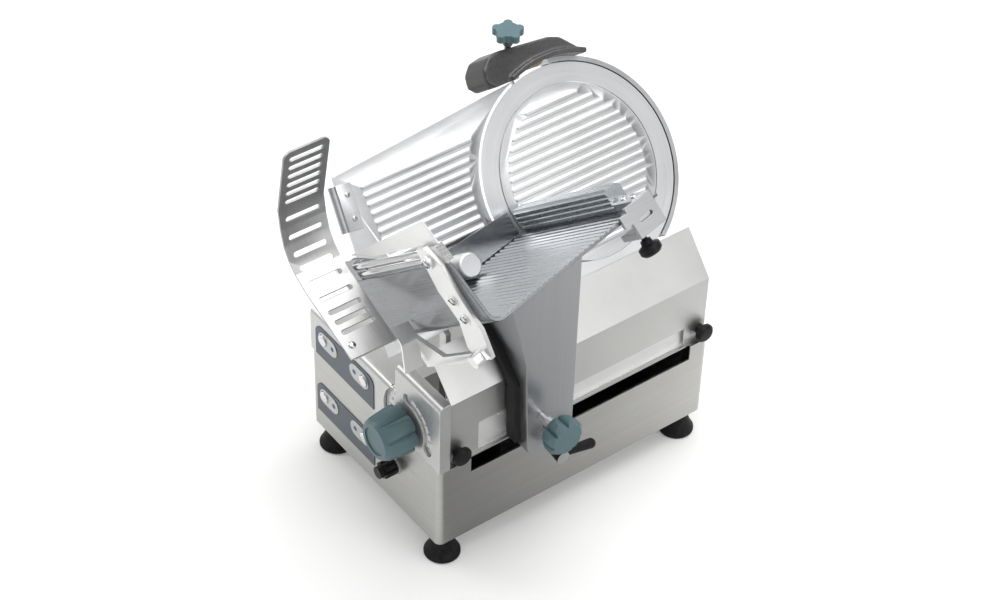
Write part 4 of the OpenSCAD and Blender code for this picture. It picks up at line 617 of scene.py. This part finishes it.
# Side cover: folded from 1.5 mm stainless sheet with a blasted satin face, held by two knobs. The
# closing sheet behind its notch is paler, and stands on the deck inside.
cover_satin = cast("satin cover sheet", (0.70, 0.70, 0.69), (0.78, 0.78, 0.77), (0.36, 0.46), grain=900.0,
                   depth=0.05, worn_tone=(0.80, 0.80, 0.79), edge=0.001)
dressed("side_cover", cover_satin, 0.0005, 20.0)
sheet_satin = cast("pale satin sheet", (0.86, 0.86, 0.855), (0.95, 0.95, 0.945), (0.40, 0.52), grain=900.0,
                   depth=0.05, metallic=0.55)
dressed("shield_plate", sheet_satin, 0.0004)
dressed("cover_knob_front", black, 0.0008, 30.0)
dressed("cover_knob_rear", black, 0.0008, 30.0)

# Head casting: the leaning aluminium casting that carries the blade and houses the motor, with the
# guard ring round the blade's back half. Machined on the ring, as cast and anodised elsewhere.
lean = math.radians(41)
lean_turn = (0, lean, 0)
blade_mid = (0.005, 0.103, 0.450)
blade_r = 0.150
head_cast = cast("anodised head", (0.55, 0.56, 0.57), (0.68, 0.69, 0.70), (0.30, 0.42),
                 worn_tone=(0.80, 0.81, 0.82))
dressed("head_casting", head_cast, 0.0010)
dressed("blade_hub", head_cast, 0.0006)
dressed("blade_axle", ground_steel, 0.0004)
dressed("blade_bearings", ground_steel, 0.0004)

# Blade: a 300 mm hollow-ground knife of hard chromed steel, turned and ground on its own axle, so
# its fine lines run round it.
blade_steel, tree, shader, place = finish("blade steel", 1.0)
own = placed(tree, place, (1, 1, 1), lean_turn, blade_mid)
apart = tree.nodes.new("ShaderNodeSeparateXYZ")
tree.links.new(own, apart.inputs[0])
flat_place = tree.nodes.new("ShaderNodeCombineXYZ")
tree.links.new(apart.outputs["Y"], flat_place.inputs["X"])
tree.links.new(apart.outputs["Z"], flat_place.inputs["Y"])
reach = tree.nodes.new("ShaderNodeVectorMath")
reach.operation = "LENGTH"
tree.links.new(flat_place.outputs[0], reach.inputs[0])
angle = tree.nodes.new("ShaderNodeMath")
angle.operation = "ARCTAN2"
tree.links.new(apart.outputs["Z"], angle.inputs[0])
tree.links.new(apart.outputs["Y"], angle.inputs[1])
rings = tree.nodes.new("ShaderNodeCombineXYZ")
tree.links.new(spread(tree, reach.outputs["Value"], 0.0, 40.0, 0.0, blade_r), rings.inputs["X"])
tree.links.new(angle.outputs[0], rings.inputs["Y"])
line = stretched_noise(tree, rings.outputs[0], 1.0, 3.0)
tree.links.new(tones(tree, line, (0.3, (0.86, 0.865, 0.875)), (0.7, (0.92, 0.925, 0.935))),
               shader.inputs["Base Color"])
tree.links.new(spread(tree, line, 0.27, 0.33), shader.inputs["Roughness"])
dressed("blade", blade_steel, 0.0, 20.0)

# Blade cover and gauge plate: ribbed aluminium castings, ground flat between the ribs and anodised.
# The half-round ribs carry the food with little drag, and are bright along their tops.
def ribbed(name, dark, light):
    """A ribbed casting: fine strokes along the blade's slope, under slow clouding."""
    made, tree, shader, place = finish(name, 1.0)
    own = placed(tree, place, (1, 1, 1), lean_turn, blade_mid)
    stroke = tree.nodes.new("ShaderNodeVectorMath")
    stroke.operation = "MULTIPLY"
    stroke.inputs[1].default_value = (300, 12, 500)
    tree.links.new(own, stroke.inputs[0])
    grain = stretched_noise(tree, stroke.outputs[0], 1.0, 3.0)
    cloud = marks(tree, place)
    tree.links.new(tones(tree, average(tree, grain, cloud, 0.5), (0.32, dark), (0.68, light)),
                   shader.inputs["Base Color"])
    tree.links.new(spread(tree, cloud, 0.32, 0.44), shader.inputs["Roughness"])
    relief(tree, shader, grain, 0.06, 0.0003)
    return made


dressed("blade_cover", ribbed("ribbed cover", (0.68, 0.685, 0.69), (0.78, 0.785, 0.79)), 0.0006, 40.0)
dressed("gauge_plate", ribbed("ribbed gauge", (0.60, 0.605, 0.61), (0.69, 0.695, 0.70)), 0.0006, 40.0)
dressed("gauge_end_plate", satin, 0.0005, 30.0)
dressed("tie_knob", black, 0.0008, 30.0)
dressed("slice_deflector", sheet_satin, 0.0003)

# Motors and belts: two closed motors in dark enamel, screwed inside the base and the head, with
# rubber belts on turned steel pulleys. The carriage's guide rods are ground steel too.
motor_paint = cast("motor enamel", (0.085, 0.09, 0.10), (0.12, 0.125, 0.135), (0.38, 0.5), grain=260.0,
                   worn_tone=(0.22, 0.22, 0.23), metallic=0.0)
belt_rubber, tree, shader, place = finish("belt rubber", 0.0)
fibres = stretched_noise(tree, placed(tree, place, (30, 600, 600)), 1.0, 3.0)
tree.links.new(tones(tree, fibres, (0.3, (0.012, 0.012, 0.012)), (0.7, (0.030, 0.030, 0.030))),
               shader.inputs["Base Color"])
tree.links.new(spread(tree, fibres, 0.6, 0.8), shader.inputs["Roughness"])
for node in ("blade_motor", "drive_motor"):
    dressed(node, motor_paint, 0.0008)
for node in ("motor_pulley", "drive_pulley", "idle_pulley", "guide_rods"):
    dressed(node, ground_steel, 0.0004)
for node in ("blade_belt", "drive_belt"):
    dressed(node, belt_rubber, 0.0003)

# Sharpener: a casting in dark grey enamel that hides two stones above the blade's edge, pulled up
# on its post and held by a blue-green star knob on a bright screw. Its skin is melted round, as a
# die casting's edges are.
dark_enamel = cast("dark enamel", (0.050, 0.049, 0.049), (0.090, 0.088, 0.087), (0.28, 0.40), grain=300.0,
                   depth=0.16, worn_tone=(0.17, 0.17, 0.17), edge=0.003, metallic=0.35)
casting = dressed("sharpener_cover", dark_enamel, 0.0)
skin = casting.modifiers.new("skin", "REMESH")
skin.mode = "VOXEL"
skin.voxel_size = 0.0014
skin.use_smooth_shade = True
melt = casting.modifiers.new("melt", "SMOOTH")
melt.factor = 0.5
melt.iterations = 24
stone_grit, tree, shader, place = finish("bonded stone", 0.0)
grit = stretched_noise(tree, place, 1400.0, 4.0)
tree.links.new(tones(tree, grit, (0.3, (0.36, 0.28, 0.20)), (0.7, (0.55, 0.46, 0.36))),
               shader.inputs["Base Color"])
shader.inputs["Roughness"].default_value = 0.9
relief(tree, shader, grit, 0.5, 0.0005)
dressed("sharpener_stones", stone_grit, 0.0004)
dressed("sharpener_knob", teal, 0.0012, 30.0, 3, ground_steel,
        near_axis("sharpener_screw", 0.0115, 0.0255))

# Carriage: a cast arm on a ground foot that slides on two rods in the base. The arm is milled, then
# satin anodised, so its broad face shows upright strokes; a black strip lies in the gap between the
# arm's inner edge and the cover and shows there as a dark band.
arm_cast = brushed("satin arm casting", (0.55, 0.56, 0.58), (0.61, 0.62, 0.64), (0.30, 0.38),
                   (700, 700, 8), depth=0.03)
foot_cast = cast("carriage casting", (0.52, 0.53, 0.54), (0.64, 0.65, 0.66), (0.34, 0.46))
dressed("carriage_arm", arm_cast, 0.0035, 30.0, 4)
dressed("carriage_foot", foot_cast, 0.0008)
dressed("guide_supports", foot_cast, 0.0008)
# A black strip in the gap between the arm's inner edge and the cover; it shows there as a dark band.
gap_strip, tree, shader, place = finish("black gap strip", 0.0)
tree.links.new(tones(tree, stretched_noise(tree, place, 500.0, 3.0), (0.3, (0.006, 0.006, 0.006)),
                     (0.8, (0.018, 0.018, 0.018))), shader.inputs["Base Color"])
shader.inputs["Roughness"].default_value = 0.65
dressed("arm_seal", gap_strip, 0.0005)
grey_box = cast("grey powder coat", (0.11, 0.125, 0.145), (0.15, 0.165, 0.185), (0.5, 0.62), grain=600.0,
                depth=0.3, metallic=0.0)
dressed("control_box", grey_box, 0.0010)
dressed("star_knob", teal, 0.0016, 30.0, 3, ground_steel, near_axis("arm_screw", 0.0110, 0.0335))
dressed("clamp_lever", black, 0.0008, 30.0, 2, ground_steel, near_axis("drive_lever", 0.0052))

# Product tray: a cast aluminium trough with a fluted floor and a wall along one side, ground with
# the slope and clear anodised, screwed on top of the carriage's arm.
tray_cast, tree, shader, place = finish("tray casting", 1.0)
own = placed(tree, place, (1, 1, 1), lean_turn, blade_mid)
along = tree.nodes.new("ShaderNodeVectorMath")
along.operation = "MULTIPLY"
along.inputs[1].default_value = (10, 500, 500)
tree.links.new(own, along.inputs[0])
grain = stretched_noise(tree, along.outputs[0], 1.0, 3.0)
tree.links.new(tones(tree, average(tree, grain, marks(tree, place), 0.4), (0.32, (0.235, 0.245, 0.26)),
                     (0.68, (0.315, 0.327, 0.34))), shader.inputs["Base Color"])
tree.links.new(spread(tree, grain, 0.18, 0.30), shader.inputs["Roughness"])
relief(tree, shader, grain, 0.05, 0.0003)
dressed("product_tray", tray_cast, 0.0010, 40.0)

# Guard and brackets: the slotted hand guard is bent from 3 mm satin stainless, on a pale cast
# bracket and bar; the side wing is white satin sheet, and the rods above the wall are ground steel.
white_satin = cast("white anodised casting", (0.88, 0.88, 0.875), (0.96, 0.96, 0.955), (0.34, 0.46),
                   grain=700.0, depth=0.05, worn_tone=(0.92, 0.92, 0.92), edge=0.001)
guard_steel = brushed("satin guard steel", (0.41, 0.41, 0.406), (0.51, 0.51, 0.506), (0.34, 0.46),
                      (12, 700, 12), depth=0.06)
dressed("hand_guard", guard_steel, 0.0006, 30.0)
dressed("guard_bar", white_satin, 0.0008)
dressed("link_bracket", white_satin, 0.0008)
dressed("side_wing", white_satin, 0.0006)
dressed("press_rails", ground_steel, 0.0005)

# Pusher: a bent plate of polished stainless sheet that presses the food down the slope, with an
# aluminium grip turned from bar; it slides on the rods by its block.
mirror_sheet = brushed("polished pusher sheet", (0.30, 0.31, 0.32), (0.37, 0.38, 0.39), (0.12, 0.22),
                       (400, 400, 6), depth=0.04)
turned_grip = cast("turned aluminium grip", (0.66, 0.66, 0.65), (0.78, 0.78, 0.77), (0.32, 0.42),
                   grain=800.0)
dressed("press_plate", mirror_sheet, 0.0006, 30.0)
dressed("press_knob", turned_grip, 0.0010, 30.0, 3)

# Fence: an extruded ribbed bar that holds the food at the back of the tray, on a slotted clamp of
# grey sheet over the tray's edge, locked from below by a black knob.
fence_bar = brushed("extruded fence bar", (0.42, 0.45, 0.47), (0.54, 0.57, 0.59), (0.20, 0.32),
                    (8, 600, 600), lean_turn, blade_mid, depth=0.05)
dressed("fence", fence_bar, 0.0008, 30.0)
dressed("fence_clamp", satin, 0.0006)
dressed("fence_knob", black, 0.0008, 30.0)

# Screws: what holds the pieces together in sight. Each is a domed head whose driver's slot is a near-black
# bar set through its top, painted shade in place of the slot's recess. It is made once in Geometry Nodes and
# set on the places below, which follow the frame of the piece it holds.
# The slot's finish is near black: painted shade for the recess of a steel slot.
painted_slot_shade, tree, shader, place = finish("painted slot shade", 0.0)
tree.links.new(tones(tree, stretched_noise(tree, place, 900.0, 2.0), (0.3, (0.02, 0.02, 0.02)),
                     (0.7, (0.05, 0.05, 0.05))), shader.inputs["Base Color"])
shader.inputs["Roughness"].default_value = 0.6
heads = bpy.data.node_groups.new("screw heads", "GeometryNodeTree")
for socket, kind in (("Places", "Geometry"), ("Radius", "Float"), ("Height", "Float"),
                     ("Metal", "Material"), ("Slot shade", "Material")):
    heads.interface.new_socket(socket, in_out="INPUT", socket_type="NodeSocket" + kind)
heads.interface.new_socket("Heads", in_out="OUTPUT", socket_type="NodeSocketGeometry")
given = heads.nodes.new("NodeGroupInput")
made_out = heads.nodes.new("NodeGroupOutput")


def size_of(x, y, z):
    """A size as a vector, worked out from the radius and the height of a head."""
    joined = heads.nodes.new("ShaderNodeCombineXYZ")
    for socket, (source, share) in zip("XYZ", (x, y, z)):
        part = heads.nodes.new("ShaderNodeMath")
        part.operation = "MULTIPLY"
        heads.links.new(given.outputs[source], part.inputs[0])
        part.inputs[1].default_value = share
        heads.links.new(part.outputs[0], joined.inputs[socket])
    return joined.outputs[0]


def with_finish(geometry, material):
    """Geometry with one of the group's two finishes."""
    setter = heads.nodes.new("GeometryNodeSetMaterial")
    heads.links.new(geometry, setter.inputs["Geometry"])
    heads.links.new(given.outputs[material], setter.inputs["Material"])
    return setter.outputs[0]


dome = heads.nodes.new("GeometryNodeMeshUVSphere")
dome.inputs["Segments"].default_value = 32
dome.inputs["Rings"].default_value = 16
dome.inputs["Radius"].default_value = 1.0
flatten = heads.nodes.new("GeometryNodeTransform")
heads.links.new(dome.outputs["Mesh"], flatten.inputs["Geometry"])
heads.links.new(size_of(("Radius", 1.0), ("Radius", 1.0), ("Height", 1.0)), flatten.inputs["Scale"])
smooth = heads.nodes.new("GeometryNodeSetShadeSmooth")
heads.links.new(flatten.outputs[0], smooth.inputs["Geometry"])
# The slot: a near-black bar through the dome's top, painted shade standing in for the slot's recess.
slot_shade_bar = heads.nodes.new("GeometryNodeMeshCube")
heads.links.new(size_of(("Radius", 1.5), ("Radius", 0.26), ("Height", 0.5)), slot_shade_bar.inputs["Size"])
raised = heads.nodes.new("GeometryNodeTransform")
heads.links.new(slot_shade_bar.outputs["Mesh"], raised.inputs["Geometry"])
heads.links.new(size_of(("Height", 0.0), ("Height", 0.0), ("Height", 0.76)), raised.inputs["Translation"])
one_head = heads.nodes.new("GeometryNodeJoinGeometry")
heads.links.new(with_finish(smooth.outputs[0], "Metal"), one_head.inputs[0])
heads.links.new(with_finish(raised.outputs[0], "Slot shade"), one_head.inputs[0])
stored = heads.nodes.new("GeometryNodeStoreNamedAttribute")
stored.data_type = "FLOAT_VECTOR"
stored.domain = "FACE"
stored.inputs["Name"].default_value = "outwards"
heads.links.new(given.outputs["Places"], stored.inputs["Geometry"])
heads.links.new(heads.nodes.new("GeometryNodeInputNormal").outputs[0], stored.inputs["Value"])
as_points = heads.nodes.new("GeometryNodeMeshToPoints")
as_points.mode = "FACES"
heads.links.new(stored.outputs[0], as_points.inputs["Mesh"])
named = heads.nodes.new("GeometryNodeInputNamedAttribute")
named.data_type = "FLOAT_VECTOR"
named.inputs["Name"].default_value = "outwards"
facing = heads.nodes.new("FunctionNodeAlignRotationToVector")
facing.axis = "Z"
heads.links.new(named.outputs["Attribute"], facing.inputs["Vector"])
set_on = heads.nodes.new("GeometryNodeInstanceOnPoints")
heads.links.new(as_points.outputs[0], set_on.inputs["Points"])
heads.links.new(one_head.outputs[0], set_on.inputs["Instance"])
heads.links.new(facing.outputs[0], set_on.inputs["Rotation"])
solid = heads.nodes.new("GeometryNodeRealizeInstances")
heads.links.new(set_on.outputs[0], solid.inputs["Geometry"])
heads.links.new(solid.outputs[0], made_out.inputs["Heads"])


def screws(name, like, places, outwards, radius, height):
    """Screw heads at places, facing outwards, that ride with the node whose piece they hold."""
    seats = bmesh.new()
    seat_r = 0.001
    up = Vector(outwards).normalized()
    across = up.orthogonal().normalized()
    for at in places:
        corners = [Vector(at) + seat_r * (math.cos(a) * across + math.sin(a) * up.cross(across))
                   for a in (0, math.tau / 3, 2 * math.tau / 3)]
        seats.faces.new([seats.verts.new(c) for c in corners])
    seat_mesh = bpy.data.meshes.new(name + "_seats")
    seats.to_mesh(seat_mesh)
    seats.free()
    maker = bpy.data.objects.new(name + "_seats", seat_mesh)
    bpy.context.scene.collection.objects.link(maker)
    nodes = maker.modifiers.new("heads", "NODES")
    nodes.node_group = heads
    values = {"Radius": radius, "Height": height, "Metal": ground_steel, "Slot shade": painted_slot_shade}
    for socket in heads.interface.items_tree:
        if socket.name in values:
            nodes[socket.identifier] = values[socket.name]
    bpy.context.view_layer.update()
    settled = maker.evaluated_get(bpy.context.evaluated_depsgraph_get())
    result = bpy.data.meshes.new_from_object(settled)
    bpy.data.objects.remove(maker)
    piece = bpy.data.objects.new(name, result)
    bpy.context.scene.collection.objects.link(piece)
    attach(piece, rides_on[like])


# The slope's own directions: out of the blade's face, to the back, up the face; then the tray's floor
# and the tray's front wall, each as the source draws them.
out_of_face = Vector((math.cos(lean), 0, math.sin(lean)))
to_back = Vector((0, 1, 0))
up_face = out_of_face.cross(to_back)
tray_tilt = math.radians(12)
wall_tilt = math.radians(94)
along_floor = math.cos(tray_tilt) * to_back + math.sin(tray_tilt) * up_face
off_floor = math.cos(tray_tilt) * up_face - math.sin(tray_tilt) * to_back
up_wall = math.cos(wall_tilt) * along_floor + math.sin(wall_tilt) * off_floor
out_of_wall = math.cos(wall_tilt) * off_floor - math.sin(wall_tilt) * along_floor
tray_corner = Vector(blade_mid) - 0.359 * to_back - 0.093 * up_face
clamp_row = tray_corner + 0.255 * along_floor + 0.0106 * off_floor
plate_tilt = math.atan(22 / 242)
down_plate = -math.sin(plate_tilt) * to_back - math.cos(plate_tilt) * up_face
plate_top = Vector(blade_mid) + 0.0014 * out_of_face - 0.334 * to_back + 0.112 * up_face
guard_run = Vector((0.072, 0, -0.028)).normalized()
guard_screw = (0.1299, -0.3534, 0.4670)

screws("bracket_screws", "link_bracket",
       [tray_corner + x * out_of_face + y * up_wall + z * out_of_wall
        for x, y, z in ((0.274, 0.102, 0.0158), (0.262, 0.044, 0.0118), (0.257, 0.016, 0.0118))],
       out_of_wall, 0.0064, 0.0034)
screws("end_plate_screws", "gauge_end_plate", [plate_top + d * down_plate for d in (0.015, 0.047)],
       out_of_face, 0.0038, 0.0018)
screws("guard_screw", "hand_guard", [guard_screw], to_back.cross(guard_run), 0.0052, 0.0028)
screws("clamp_bolts", "fence_clamp", [clamp_row + x * out_of_face for x in (0.266, 0.290)],
       off_floor, 0.0042, 0.0034)
